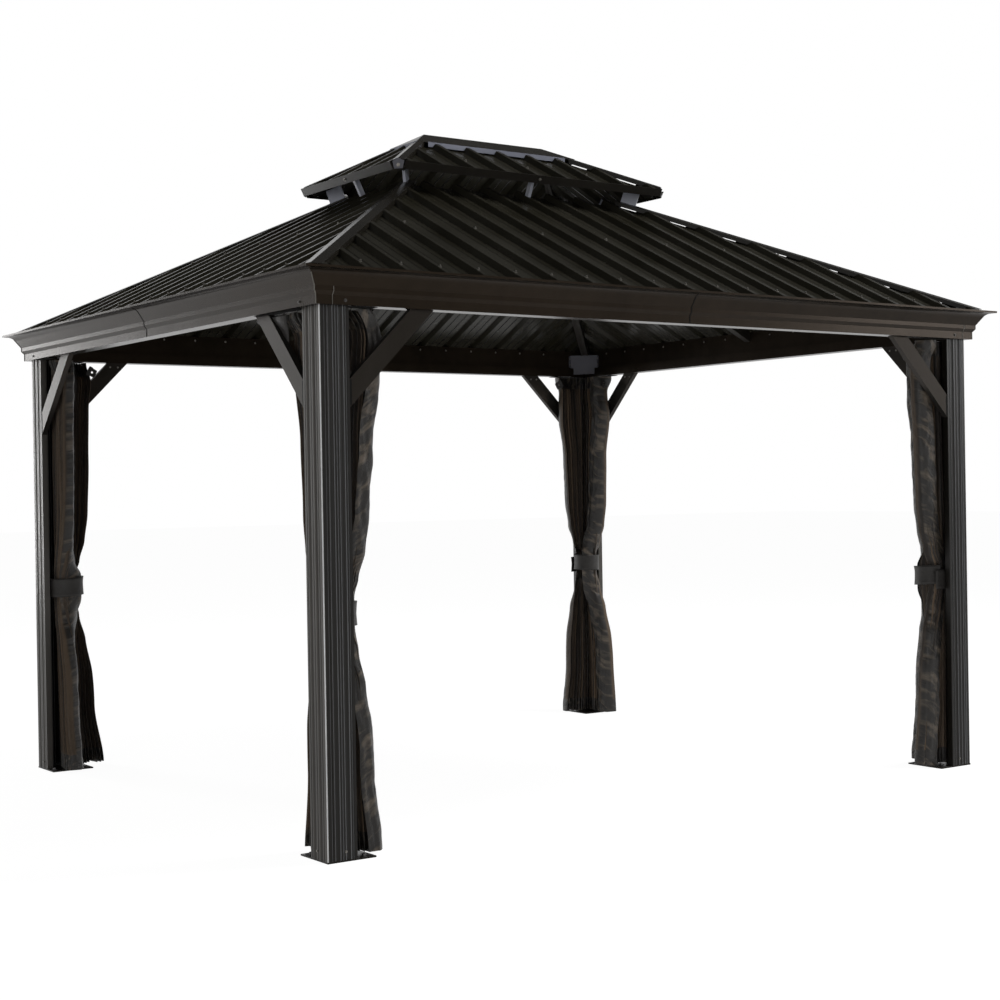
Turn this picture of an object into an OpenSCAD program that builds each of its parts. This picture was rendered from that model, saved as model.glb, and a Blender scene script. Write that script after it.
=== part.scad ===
// Hard-top metal gazebo with a two-tier hip roof, fluted corner posts and tied net curtains.
// Millimetres, +Z up. The origin is on the ground at the plan centre; the long side runs along X.
// The front is at -Y and the left end is at -X.

/* [Overall] */
// Roof length, from lip to lip of the cornice
roof_length = 3632; // [3000:1:4400]
// Roof width, from lip to lip of the cornice
roof_width = 3066; // [2600:1:3600]
// Height of the underside of the cornice beams
beam_height = 1978; // [1800:1:2300]

/* [Posts and feet] */
// Width of each leg of the angle-shaped post
leg_width = 122; // [100:1:150]
// Thickness of each leg of the post
leg_thickness = 28; // [20:1:32]
// Radius of the rounded outer corner of the post
post_corner_radius = 7; // [3:0.5:10]
// Width of a broad flute in a post face
flute_width = 22; // [12:1:26]
// Depth of a broad flute
flute_depth = 4; // [2:0.5:6]
// Distance of the first broad flute from the outer corner
flute_first = 42; // [36:1:46]
// Distance of the second broad flute from the outer corner
flute_second = 88; // [80:1:92]
// Radius of the fine grooves between the flutes
groove_radius = 2.5; // [1:0.5:4]
// Distances of the fine grooves from the outer corner
groove_places = [23, 65, 108];
// Side of the square foot plate
foot_plate_side = 200; // [185:1:240]
// Thickness of the foot plate
foot_plate_thickness = 6; // [4:1:12]
// Diameter of the anchor holes in the foot plate
anchor_hole = 12; // [8:1:16]
// Distance of an anchor hole from the plate's free edge
anchor_from_end = 40; // [25:1:48]
// Distance of an anchor hole from the plate's outer edge
anchor_from_side = 20; // [15:1:30]

/* [Cornice beam] */
// Setback of the post face behind the flat band of the cornice
post_setback = 25; // [10:1:40]
// Height of the flat band at the foot of the cornice
band_height = 33; // [25:1:45]
// Reach of the small chamfer above the band
chamfer_reach = 11; // [6:1:16]
// Height of the small chamfer above the band
chamfer_height = 14; // [8:1:20]
// Height of the upright fillet above the chamfer
fillet_height = 17; // [10:1:24]
// Reach of the sloping face of the crown
crown_slope_reach = 23; // [15:1:30]
// Height of the sloping face of the crown
crown_slope_height = 35.5; // [25:0.5:45]
// Radius of the hollow under the crown lip
crown_radius = 43; // [30:1:60]
// Overhang of the lip beyond the hollow
lip_reach = 10.5; // [6:0.5:16]
// Height of the upright lip
lip_height = 8.5; // [6:0.5:12]
// Thickness of the crown's shell and lip
lip_thickness = 4; // [3:0.5:5]
// Depth of the beam behind the flat band
beam_depth = 55; // [54:1:70]
// Reach of the curtain track inside the beam
track_reach = 12; // [8:1:20]
// Height of the curtain track
track_height = 50; // [35:1:60]
// Length of each arm of a cornice corner piece behind the flat band
corner_arm = 67; // [67:1:110]

/* [Knee braces and gussets] */
// Distance down the post and along the beam to the lower edge of a brace
brace_reach = 362; // [300:1:450]
// Width of a brace across its face
brace_width = 71; // [50:1:80]
// Thickness of a brace
brace_thickness = 25; // [15:1:26]
// Setback of a brace behind the post face
brace_setback = 1.5; // [0:0.5:2]
// Width of a corner gusset plate
gusset_width = 152; // [140:1:180]
// Thickness of a corner gusset plate
gusset_thickness = 5; // [3:1:8]
// Height of the gusset's lower edge above the underside of the beam
gusset_foot = 14; // [4:1:30]
// Height of the gusset's upper edge above the underside of the beam
gusset_head = 126; // [110:1:130]

/* [Roof sheets] */
// Rise of the front main slope for each unit of run
main_slope = 0.48; // [0.42:0.01:0.52]
// Rise of the front upper slope for each unit of run
upper_slope = 0.505; // [0.48:0.005:0.52]
// Drop of the sheet below the lip of the cornice, if it ran on to the lip
sheet_drop = 39; // [36:1:42]
// Distance of the sheet's lower edge inside the lip of the cornice
sheet_inset = 49; // [48:1:60]
// Thickness of a roof sheet
sheet_thickness = 4; // [3:0.5:5]
// Spacing of the ribs
rib_pitch = 171; // [150:1:190]
// Height of a rib
rib_height = 22; // [16:1:24]
// Width of a rib at its top
rib_top_width = 22; // [18:1:30]
// Width of a rib at its foot
rib_foot_width = 50; // [44:1:60]
// Gap from a sheet's cut edge to the hip line
hip_gap = 12; // [8:1:20]
// Width of one wing of a main hip cap
cap_wing = 33; // [30:1:60]
// Width of one wing of an upper hip cap
upper_cap_wing = 26; // [24:1:40]
// Thickness of the cap metal
cap_thickness = 3; // [2:0.5:4]

/* [Vent and upper roof] */
// Length of the upper roof, from trim to trim
upper_length = 1516; // [1400:1:1640]
// Width of the upper roof, from trim to trim
upper_width = 870; // [800:1:960]
// Width of the vent opening between the upper edges of the front and back main sheets
vent_width = 540; // [500:1:600]
// Height of the upper sheet at its eave above the main sheet at the vent
vent_rise = 47; // [42:1:80]
// Height of the trim along the upper eave, square to the slope
trim_height = 37; // [30:1:42]
// Height of the trim above the sheet that it edges
trim_above = 25; // [22:1:28]
// Thickness of the trim
trim_thickness = 3; // [2:0.5:5]
// Cut-back of the upper eave at each corner
eave_cut = 37; // [30:1:45]
// Height of the peak of a corner plate above the trims beside it
plate_peak = 13; // [8:1:16]
// Inward lean of a corner plate's sides, from their heads to their feet
plate_taper = 7; // [4:1:9]
// Reach of the ridge cap to each side of the ridge
ridge_wing = 117; // [90:1:135]
// Distance from the ridge to the upper ends of the hip caps
cap_stop = 45; // [42:1:55]

/* [Rafters and supports] */
// Half width of a rafter
rafter_half = 20; // [15:1:25]
// Depth of a main rafter
rafter_depth = 50; // [35:1:60]
// Depth of an upper rafter
upper_rafter_depth = 30; // [20:1:32]
// Half width of an upper rafter
upper_rafter_half = 14; // [10:1:20]
// Width of the bars of the vent ring
ring_bar = 40; // [36:1:60]
// Spare width of the ring's cut corners beyond the hip rafters
ring_spare = 8; // [4:1:12]
// Depth of the bar under the upper ridge
ridge_bar_depth = 40; // [30:1:50]
// Reach of the ridge bar beyond each end of the ridge
ridge_bar_reach = 36; // [30:1:50]
// Length of a corner bracket along the hip
bracket_length = 76; // [60:1:90]
// Thickness of a corner bracket
bracket_thickness = 12; // [8:1:20]
// Length of hip cap left bare above a corner bracket, in plan
bracket_setback = 6; // [0:1:12]
// Width of a mid strut
strut_width = 16; // [12:1:30]
// Depth of a mid strut along the slope
strut_depth = 24; // [14:1:30]
// Distance from the vent edge down the slope to a mid strut
strut_setback = 62; // [45:1:75]

/* [Curtains] */
// Distance of a curtain's outer face from the inside of the beams
curtain_setback = 8; // [6:1:11]
// Reach of a curtain along both beams above its tie, from the post's outer faces
curtain_upper_reach = 288; // [250:1:320]
// Reach of a curtain along both beams below its tie
curtain_lower_reach = 284; // [240:1:320]
// Thickness of a gathered curtain
curtain_thickness = 86; // [70:1:92]
// Width of a curtain at its tie
curtain_tie_width = 160; // [130:1:180]
// Space between a tied curtain and the inside of its post
tie_spare = 7; // [4:1:12]
// Height of the middle of the tie band
tie_height = 880; // [700:1:1000]
// Height of the tie band
tie_band = 88; // [60:1:120]
// Height of the hem above the ground
hem_height = 15; // [12:1:40]
// Clearance between a curtain's head and its track
curtain_clearance = 0.3; // [0.1:0.1:0.8]

/* [Hidden] */
$fn = 48;
EPS = 1;
TALL = 4000;
METAL = "#2b2823";
METAL_LIT = "#4a453e";
ROOF = "#1c1a16";
PLATE = "#45464d";
NET = "#3a3128";

// Cornice section, measured out from the flat band and up from its foot
crown_foot = band_height + chamfer_height + fillet_height;
crown_spring = crown_foot + crown_slope_height;
crown_out = chamfer_reach + crown_slope_reach;
crown_fall = crown_radius * cos(atan2(crown_slope_height, crown_slope_reach));
crown_centre_x = crown_out + sqrt(pow(crown_radius, 2) - pow(crown_fall, 2));
crown_centre_z = crown_spring - crown_fall;
crown_top = crown_centre_z + crown_radius;
lip_out = crown_centre_x + lip_reach;
lip_top = crown_top + lip_height;

// Half sizes in plan
half_l = roof_length / 2;
half_w = roof_width / 2;
band_x = half_l - lip_out;
band_y = half_w - lip_out;
post_x = band_x - post_setback;
post_y = band_y - post_setback;
upper_l = upper_length / 2;
upper_w = upper_width / 2;
beam_inside = beam_depth - post_setback;

// Middle lines of a curtain, measured from the post's outer faces
curtain_line = beam_inside + curtain_setback + curtain_thickness / 2;
tie_place = leg_thickness + tie_spare + curtain_tie_width / 2;

// Run along Y for each unit of run along X on the hip lines
hip_turn = (half_w - upper_w) / (half_l - upper_l);
hip_unit = sqrt(1 + pow(hip_turn, 2));

// Sheet heights: the outer edge of each tier, at the top of the pans
main_edge = beam_height + lip_top - sheet_drop;
ring_y = vent_width / 2;
main_run = half_w - ring_y;
main_hip_run = main_run / hip_turn;
upper_edge = main_edge + main_run * main_slope + vent_rise;
ring_x = half_l - main_hip_run;
ring_outer = [ring_x + ring_bar / hip_turn, ring_y + ring_bar];
ridge_half = upper_l - upper_w / hip_turn;
ridge_reach = [ridge_half + ridge_wing / hip_turn, ridge_wing];
ridge_bar_half = ridge_half + ridge_bar_reach;
vent_height = vent_rise + (upper_w - ring_y) * upper_slope;

// Each tier: half length, half width, edge height, front slope, end slope
MAIN = [half_l, half_w, main_edge, main_slope, main_slope * hip_turn];
UPPER = [upper_l, upper_w, upper_edge, upper_slope, upper_slope * hip_turn];

CORNERS = ["front_left", "front_right", "back_left", "back_right"];
CORNER_SIGNS = [[-1, -1], [1, -1], [-1, 1], [1, 1]];
SIDES = ["front", "right", "back", "left"];

function sign_of(corner) = CORNER_SIGNS[search([corner], CORNERS)[0]];
function is_end(side) = side % 2 == 1;
function depth_of(tier, side) = is_end(side) ? tier[0] : tier[1];
function length_of(tier, side) = is_end(side) ? tier[1] : tier[0];
function slope_of(tier, side) = is_end(side) ? tier[4] : tier[3];
function turn_of(side) = is_end(side) ? hip_turn : 1 / hip_turn;
// Half length of a slope's strip at y, measured along its own eave
function hip_x(tier, side, y) = length_of(tier, side) - (depth_of(tier, side) + y) * turn_of(side);
// Height of the top of the pans at y
function pan_z(tier, side, y) = tier[2] + (depth_of(tier, side) + y) * slope_of(tier, side);

// Heights measured straight up from the top of a tier's pans, on its steepest slope
function steepest(tier) = atan(max(tier[3], tier[4]));
function cap_rest(tier) = rib_height / cos(steepest(tier));
function cap_top(tier) = cap_rest(tier) + cap_thickness;
function sheet_under(tier) = -sheet_thickness / cos(steepest(tier));

// Places a front-left corner shape, drawn from the post's outer corner, at any corner
module at_corner(signs) {
    mirror([signs[0] > 0 ? 1 : 0, 0, 0])
        mirror([0, signs[1] > 0 ? 1 : 0, 0])
            translate([-post_x, -post_y, 0])
                children();
}

// Places a shape drawn for the front side at any side
module on_side(side) {
    rotate([0, 0, 90 * side])
        children();
}

// Mirrors a front-left shape drawn about the plan centre into all four corners
module each_corner() {
    for (signs = CORNER_SIGNS)
        mirror([signs[0] > 0 ? 1 : 0, 0, 0])
            mirror([0, signs[1] > 0 ? 1 : 0, 0])
                children();
}

module fluted_face() {
    flute_r = (pow(flute_width / 2, 2) + pow(flute_depth, 2)) / (2 * flute_depth);
    for (x = [flute_first, flute_second])
        translate([x, flute_depth - flute_r])
            circle(flute_r);
    for (x = groove_places)
        translate([x, 0])
            circle(groove_radius);
}

module post_section() {
    r = post_corner_radius;
    difference() {
        union() {
            translate([r, 0])
                square([leg_width - r, leg_thickness]);
            translate([0, r])
                square([leg_thickness, leg_width - r]);
            translate([r, r])
                circle(r);
        }
        fluted_face();
        mirror([1, -1])
            fluted_face();
    }
}

module post(corner) {
    color(METAL)
        at_corner(sign_of(corner))
            translate([0, 0, foot_plate_thickness])
                linear_extrude(beam_height - foot_plate_thickness)
                    post_section();
}

module foot_plate(corner) {
    far = foot_plate_side - anchor_from_end;
    color(METAL_LIT)
        at_corner(sign_of(corner))
            difference() {
                cube([foot_plate_side, foot_plate_side, foot_plate_thickness]);
                for (place = [[far, anchor_from_side], [anchor_from_side, far]])
                    translate([place[0], place[1], -EPS])
                        cylinder(d = anchor_hole, h = foot_plate_thickness + 2 * EPS);
            }
}

// Height of the beam's sloping top at a distance out from the flat band
function beam_top(out, slope) = lip_top - sheet_drop + sheet_under(MAIN) + (lip_out - out) * slope;

// Cornice section, out along +X and up along +Y, with the roof's slope on top
module beam_section(slope, back, track) {
    difference() {
        union() {
            polygon([
                [0, 0],
                [0, band_height],
                [chamfer_reach, band_height + chamfer_height],
                [chamfer_reach, crown_foot],
                [crown_out, crown_spring],
                [crown_out, beam_top(crown_out, slope)],
                [-back, beam_top(-back, slope)],
                [-back, track_height],
                [-back - track, track_height],
                [-back - track, 0]
            ]);
            crown_section();
        }
        translate([crown_centre_x, crown_centre_z])
            circle(crown_radius);
    }
}

// Curved shell and upright lip of the crown, before its hollow is cut
module crown_section() {
    intersection() {
        translate([crown_centre_x, crown_centre_z])
            circle(crown_radius + lip_thickness);
        translate([crown_out, crown_spring])
            square([crown_centre_x - crown_out, crown_radius]);
    }
    translate([crown_centre_x, crown_top])
        square([lip_reach, lip_thickness]);
    translate([lip_out - lip_thickness, crown_top])
        square([lip_thickness, lip_height]);
}

// Stretch of beam along the front, from x0 to x1, with its band in the plane y = -band
module beam_run(x0, x1, band, slope) {
    translate([x0, -band, beam_height])
        rotate([90, 0, 90])
            mirror([1, 0, 0])
                linear_extrude(x1 - x0)
                    beam_section(slope, beam_depth, track_reach);
}

// Half of the beam on one side: half -1 is to the left of the seam, seen from outside
module beam(side, half) {
    band = is_end(side) ? band_x : band_y;
    reach = (is_end(side) ? band_y : band_x) - corner_arm;
    color(METAL)
        on_side(side)
            beam_run(half < 0 ? -reach : 0, half < 0 ? 0 : reach, band, slope_of(MAIN, side));
}

// Front arm of a corner piece, from the mitre at the corner to the seam with the beam
module cornice_arm(slope) {
    intersection() {
        translate([-lip_out, 0, 0])
            rotate([90, 0, 90])
                mirror([1, 0, 0])
                    linear_extrude(corner_arm + lip_out)
                        beam_section(slope, corner_arm, 0);
        linear_extrude(2 * lip_top)
            polygon([[-lip_out, -lip_out], [corner_arm, corner_arm], [corner_arm, -lip_out]]);
    }
}

module cornice_corner() {
    translate([-band_x, -band_y, beam_height]) {
        cornice_arm(slope_of(MAIN, 0));
        mirror([1, -1, 0])
            cornice_arm(slope_of(MAIN, 1));
    }
}

module cornice_corners() {
    color(METAL_LIT)
        each_corner()
            cornice_corner();
}

// Gusset across the inner corner of two beams, with its foot narrowed to pass the tracks
module gusset() {
    wall = beam_inside;
    far = wall + gusset_width / sqrt(2);
    deep = gusset_thickness * sqrt(2);
    tuck = wall + track_reach + EPS;
    plan = [[wall, far], [far, wall], [far + deep, wall], [wall, far + deep]];
    translate([0, 0, beam_height])
        difference() {
            translate([0, 0, gusset_foot])
                linear_extrude(gusset_head - gusset_foot)
                    polygon(plan);
            linear_extrude(track_height + EPS)
                square([tuck, 2 * far]);
            linear_extrude(track_height + EPS)
                square([2 * far, tuck]);
        }
}

// Gussets at the four corners, notched under the hip rafters
module corner_gussets() {
    color(PLATE)
        each_corner()
            difference() {
                at_corner(CORNER_SIGNS[0])
                    gusset();
                hip_rafter();
            }
}

module knee_brace() {
    cut = brace_width * sqrt(2);
    translate([leg_width, brace_setback + brace_thickness, beam_height])
        rotate([90, 0, 0])
            linear_extrude(brace_thickness)
                polygon([[0, -brace_reach], [brace_reach, 0], [brace_reach - cut, 0], [0, cut - brace_reach]]);
}

module knee_braces(corner) {
    color(METAL)
        at_corner(sign_of(corner)) {
            knee_brace();
            mirror([1, -1, 0])
                knee_brace();
        }
}

// Ribbed sheet section of an odd count of ribs, with one on the middle line
module sheet_section(count) {
    half = count * rib_pitch / 2;
    ribs = [for (i = [0 : count - 1]) (i + 0.5) * rib_pitch - half];
    top = [for (x = ribs) each [
        [x - rib_foot_width / 2, 0],
        [x - rib_top_width / 2, rib_height],
        [x + rib_top_width / 2, rib_height],
        [x + rib_foot_width / 2, 0]
    ]];
    line = concat([[-half, 0]], top, [[half, 0]]);
    under = [for (i = [len(line) - 1 : -1 : 0]) line[i] - [0, sheet_thickness]];
    polygon(concat(line, under));
}

// Ribbed slope of a tier between y0 and y1, kept inside the plan outline that follows
module ribbed_slope(tier, side, y0, y1) {
    pitch = atan(slope_of(tier, side));
    reach = depth_of(tier, side) / cos(pitch) + rib_height;
    count = 2 * ceil(length_of(tier, side) / rib_pitch) + 1;
    intersection() {
        translate([0, -depth_of(tier, side), tier[2]])
            rotate([pitch, 0, 0])
                translate([0, reach, 0])
                    rotate([90, 0, 0])
                        linear_extrude(reach + rib_height)
                            sheet_section(count);
        linear_extrude(TALL)
            intersection() {
                slope_plan(tier, side, y0, y1, hip_gap);
                children();
            }
    }
}

// Plan outline of a slope, drawn back from its hip lines by a gap
module slope_plan(tier, side, y0, y1, gap) {
    a = hip_x(tier, side, y0) - gap * hip_unit;
    b = max(0, hip_x(tier, side, y1) - gap * hip_unit);
    polygon([[-a, y0], [a, y0], [b, y1], [-b, y1]]);
}

module main_roof(side) {
    depth = depth_of(MAIN, side);
    color(ROOF)
        on_side(side)
            ribbed_slope(MAIN, side, -depth + sheet_inset, is_end(side) ? -ring_x : -ring_y)
                square(2 * TALL, center = true);
}

// Outline of the upper eave with its corners cut back, turned to suit a side
module upper_outline(inset, turned) {
    a = (turned ? upper_w : upper_l) - inset;
    b = (turned ? upper_l : upper_w) - inset;
    polygon([
        [eave_cut - a, -b], [a - eave_cut, -b], [a, eave_cut - b], [a, b - eave_cut],
        [a - eave_cut, b], [eave_cut - a, b], [-a, b - eave_cut], [-a, eave_cut - b]
    ]);
}

module upper_roof(side) {
    depth = depth_of(UPPER, side);
    peak = is_end(side) ? -ridge_half - hip_gap * hip_unit : -hip_gap;
    color(ROOF)
        on_side(side)
            ribbed_slope(UPPER, side, -depth, peak)
                upper_outline(0, is_end(side));
}

// Layer of a tier's slope between two heights above the top of its pans
module slope_layer(tier, side, low, high) {
    depth = depth_of(tier, side);
    on_side(side)
        translate([-TALL / 2, 0, 0])
            rotate([90, 0, 90])
                linear_extrude(TALL)
                    polygon([
                        [-depth, tier[2] + low],
                        [0, pan_z(tier, side, 0) + low],
                        [0, pan_z(tier, side, 0) + high],
                        [-depth, tier[2] + high]
                    ]);
}

// Folded strip along the front-left hip of a tier, between two heights above the pans.
// It starts and ends at runs along X from the tier's corner, cut square to the hip.
module hip_strip(tier, wing, low, high, start, finish) {
    rise = tier[4];
    pitch = atan(rise / hip_unit);
    front_fall = wing * cos(pitch) * tier[3] / hip_unit;
    end_fall = wing * cos(pitch) * rise * hip_turn / hip_unit;
    top = high * cos(pitch);
    under = low * cos(pitch);
    translate([start - tier[0], start * hip_turn - tier[1], tier[2] + start * rise])
        rotate([0, 0, atan(hip_turn)])
            rotate([0, -pitch, 0])
                rotate([90, 0, 90])
                    linear_extrude((finish - start) * hip_unit / cos(pitch))
                        polygon([
                            [0, top],
                            [-wing, top - front_fall],
                            [-wing, under - front_fall],
                            [0, under],
                            [wing, under - end_fall],
                            [wing, top - end_fall]
                        ]);
}

// Upright block over a rectangle in plan about the centre
module plan_block(half_x, half_y) {
    translate([-half_x, -half_y, 0])
        cube([2 * half_x, 2 * half_y, TALL]);
}

module hip_caps() {
    color(METAL)
        each_corner()
            intersection() {
                hip_strip(MAIN, cap_wing, cap_rest(MAIN), cap_top(MAIN), 0, main_hip_run);
                plan_block(half_l - sheet_inset, half_w - sheet_inset);
            }
}

// Front-left hip rafter at its full length, before its ends are cut
module hip_rafter() {
    start = lip_out + corner_arm - rafter_half;
    under = sheet_under(MAIN);
    hip_strip(MAIN, rafter_half, under - rafter_depth, under, start, main_hip_run);
}

// Hip rafters, notched round the corner pieces and ended on the vent ring
module hip_rafters() {
    inner = lip_out + corner_arm;
    color(METAL)
        each_corner()
            difference() {
                hip_rafter();
                translate([-half_l, -half_w, 0])
                    cube([inner, inner, TALL]);
                linear_extrude(TALL)
                    ring_outline();
            }
}

module mid_rafters() {
    color(METAL)
        for (side = [0 : 3]) {
            low = (is_end(side) ? band_x : band_y) - beam_depth;
            high = is_end(side) ? ring_outer[0] : ring_outer[1];
            intersection() {
                slope_layer(MAIN, side, sheet_under(MAIN) - rafter_depth, sheet_under(MAIN));
                on_side(side)
                    translate([-rafter_half, -low, 0])
                        cube([2 * rafter_half, low - high, TALL]);
            }
        }
}

// Outer edge of the vent ring, with its corners cut square to the hip rafters
module ring_outline() {
    x = ring_outer[0];
    y = ring_outer[1];
    cut = (2 * rafter_half + ring_spare) / hip_unit;
    turned = cut * hip_turn;
    polygon([
        [turned - x, -y], [x - turned, -y], [x, cut - y], [x, y - cut],
        [x - turned, y], [turned - x, y], [-x, y - cut], [-x, cut - y]
    ]);
}

module vent_ring() {
    color(METAL)
        translate([0, 0, pan_z(MAIN, 0, -ring_outer[1]) + sheet_under(MAIN) - rafter_depth])
            linear_extrude(rafter_depth)
                difference() {
                    ring_outline();
                    square(2 * [ring_x, ring_y], center = true);
                }
}

// Plate that stands square on the front-left hip cap and carries the upper rafter
module vent_bracket() {
    pitch = atan(MAIN[4] / hip_unit);
    foot = main_hip_run - bracket_setback;
    wide = 4 * bracket_thickness;
    difference() {
        translate([foot - half_l, foot * hip_turn - half_w, main_edge + foot * MAIN[4] + cap_rest(MAIN)])
            rotate([0, 0, atan(hip_turn)])
                rotate([0, -pitch, 0])
                    translate([-bracket_length, -bracket_thickness / 2, 0])
                        cube([bracket_length, bracket_thickness, vent_height]);
        hip_strip(MAIN, wide, -rafter_depth, cap_top(MAIN),
            foot - 2 * bracket_length, main_hip_run + bracket_length);
        hip_strip(UPPER, wide, sheet_under(UPPER) - upper_rafter_depth, vent_height, 0, upper_l);
    }
}

// Strut that stands square on the middle rib of a main slope and reaches into the upper one
module vent_strut(side) {
    edge = is_end(side) ? ring_x : ring_y;
    slope = slope_of(MAIN, side);
    hollow = (rib_height - sheet_thickness) / cos(atan(slope_of(UPPER, side)));
    difference() {
        on_side(side)
            translate([0, -edge, pan_z(MAIN, side, -edge)])
                rotate([atan(slope), 0, 0])
                    translate([-strut_width / 2, -strut_setback - strut_depth, rib_height])
                        cube([strut_width, strut_depth, vent_height]);
        slope_layer(UPPER, side, hollow, TALL);
    }
}

// Corner brackets and mid struts that carry the upper roof over the vent
module vent_supports() {
    color(PLATE) {
        each_corner()
            vent_bracket();
        for (side = [0 : 3])
            vent_strut(side);
    }
}

// Bar under the upper ridge, with its top edges against the sheets
module upper_ridge_bar() {
    top = pan_z(UPPER, 0, -upper_rafter_half) + sheet_under(UPPER);
    color(METAL)
        translate([-ridge_bar_half, -upper_rafter_half, top - ridge_bar_depth])
            cube([2 * ridge_bar_half, 2 * upper_rafter_half, ridge_bar_depth]);
}

module upper_rafters() {
    under = sheet_under(UPPER);
    color(METAL)
        each_corner()
            difference() {
                hip_strip(UPPER, upper_rafter_half, under - upper_rafter_depth, under,
                    eave_cut + trim_thickness, upper_l - ridge_half);
                plan_block(ridge_bar_half, upper_rafter_half);
            }
}

// Strips that edge the upper sheets, square to each slope
module upper_eave_trims() {
    color(METAL_LIT)
        for (side = [0 : 3]) {
            slope = slope_of(UPPER, side);
            half = length_of(UPPER, side) - eave_cut;
            out = trim_thickness + sheet_thickness * slope;
            on_side(side)
                translate([0, -depth_of(UPPER, side), upper_edge])
                    rotate([atan(slope), 0, 0])
                        translate([-half, -out, trim_above - trim_height])
                            cube([2 * half, trim_thickness, trim_height]);
        }
}

// Peaked plate across a cut corner of the upper eave, between the ends of its trims
module upper_corner_caps() {
    tilt = cos(atan(upper_slope));
    half = eave_cut / sqrt(2);
    head = trim_above * tilt;
    foot = (trim_above - trim_height) * tilt;
    color(PLATE)
        each_corner()
            translate([-upper_l + eave_cut / 2, -upper_w + eave_cut / 2, upper_edge])
                rotate([90, 0, -45])
                    linear_extrude(trim_thickness)
                        polygon([
                            [plate_taper - half, foot],
                            [half - plate_taper, foot],
                            [half, head],
                            [0, head + plate_peak],
                            [-half, head]
                        ]);
}

module upper_hip_caps() {
    color(METAL)
        each_corner()
            intersection() {
                hip_strip(UPPER, upper_cap_wing, cap_rest(UPPER), cap_top(UPPER),
                    0, (upper_w - cap_stop) / hip_turn);
                linear_extrude(TALL)
                    upper_outline(0, false);
            }
}

// Folded cap over the ridge, laid on the ends of the hip caps
module ridge_cap() {
    color(METAL)
        for (side = [0 : 3]) {
            low = is_end(side) ? -ridge_reach[0] : -ridge_reach[1];
            high = is_end(side) ? -ridge_half : 0;
            intersection() {
                slope_layer(UPPER, side, cap_top(UPPER), cap_top(UPPER) + cap_thickness);
                on_side(side)
                    linear_extrude(TALL)
                        slope_plan(UPPER, side, low, high, 0);
            }
        }
}

// Gathered stretch of curtain that follows both beams from the corner
module curtain_stretch(reach, low, high) {
    span = reach - curtain_thickness / 2 - curtain_line;
    translate([curtain_line, curtain_line, low])
        linear_extrude(high - low)
            union() {
                circle(d = curtain_thickness);
                for (turn = [0, 90])
                    rotate([0, 0, turn]) {
                        translate([0, -curtain_thickness / 2])
                            square([span, curtain_thickness]);
                        translate([span, 0])
                            circle(d = curtain_thickness);
                    }
            }
}

// Curtain hung round its post's corner and drawn together by the tie band
module curtain(corner) {
    tie_low = tie_height - tie_band / 2;
    tie_high = tie_height + tie_band / 2;
    color(NET)
        at_corner(sign_of(corner)) {
            curtain_stretch(curtain_lower_reach, hem_height, tie_low);
            translate([tie_place, tie_place, tie_low])
                cylinder(d = curtain_tie_width, h = tie_band);
            curtain_stretch(curtain_upper_reach, tie_high, beam_height - curtain_clearance);
        }
}

post("front_left");  // post_front_left
post("front_right");  // post_front_right
post("back_left");  // post_back_left
post("back_right");  // post_back_right
foot_plate("front_left");  // foot_plate_front_left
foot_plate("front_right");  // foot_plate_front_right
foot_plate("back_left");  // foot_plate_back_left
foot_plate("back_right");  // foot_plate_back_right
beam(0, -1);  // front_beam_left
beam(0, 1);  // front_beam_right
beam(2, 1);  // back_beam_left
beam(2, -1);  // back_beam_right
beam(3, 1);  // left_beam_front
beam(3, -1);  // left_beam_back
beam(1, -1);  // right_beam_front
beam(1, 1);  // right_beam_back
cornice_corners();
corner_gussets();
knee_braces("front_left");  // knee_braces_front_left
knee_braces("front_right");  // knee_braces_front_right
knee_braces("back_left");  // knee_braces_back_left
knee_braces("back_right");  // knee_braces_back_right
main_roof(0);  // front_roof
main_roof(1);  // right_roof
main_roof(2);  // back_roof
main_roof(3);  // left_roof
hip_caps();
hip_rafters();
mid_rafters();
vent_ring();
vent_supports();
upper_roof(0);  // upper_front_roof
upper_roof(1);  // upper_right_roof
upper_roof(2);  // upper_back_roof
upper_roof(3);  // upper_left_roof
upper_rafters();
upper_ridge_bar();
upper_eave_trims();
upper_corner_caps();
upper_hip_caps();
ridge_cap();
curtain("front_left");  // curtain_front_left
curtain("front_right");  // curtain_front_right
curtain("back_left");  // curtain_back_left
curtain("back_right");  // curtain_back_right
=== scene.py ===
"""Dressed model of a hard-top metal gazebo.

Ribbed steel roof in two tiers, moulded cornice, fluted angle posts, knee braces and four net
curtains, each gathered and tied at its post. Metres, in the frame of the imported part.
"""

import logging
import math
from collections.abc import Callable, Iterator, Sequence
from contextlib import contextmanager
from dataclasses import dataclass, replace
from enum import Enum

import bmesh
import bpy
from mathutils import Matrix, Vector, noise


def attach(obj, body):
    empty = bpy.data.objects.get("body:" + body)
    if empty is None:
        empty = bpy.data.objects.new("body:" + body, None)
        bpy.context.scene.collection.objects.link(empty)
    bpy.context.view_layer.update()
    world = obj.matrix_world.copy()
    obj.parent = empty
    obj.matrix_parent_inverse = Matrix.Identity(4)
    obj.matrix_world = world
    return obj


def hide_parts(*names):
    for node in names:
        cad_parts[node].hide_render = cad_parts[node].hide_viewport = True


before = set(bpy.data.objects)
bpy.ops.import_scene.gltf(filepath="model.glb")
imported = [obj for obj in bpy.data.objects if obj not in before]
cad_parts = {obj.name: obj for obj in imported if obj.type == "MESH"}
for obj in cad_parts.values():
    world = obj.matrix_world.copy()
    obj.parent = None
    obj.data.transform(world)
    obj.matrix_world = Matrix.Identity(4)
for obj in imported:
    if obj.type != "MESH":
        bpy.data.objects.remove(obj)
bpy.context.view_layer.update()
LOG = logging.getLogger("gazebo")
BODY = "root"
MM = 0.001
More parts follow.
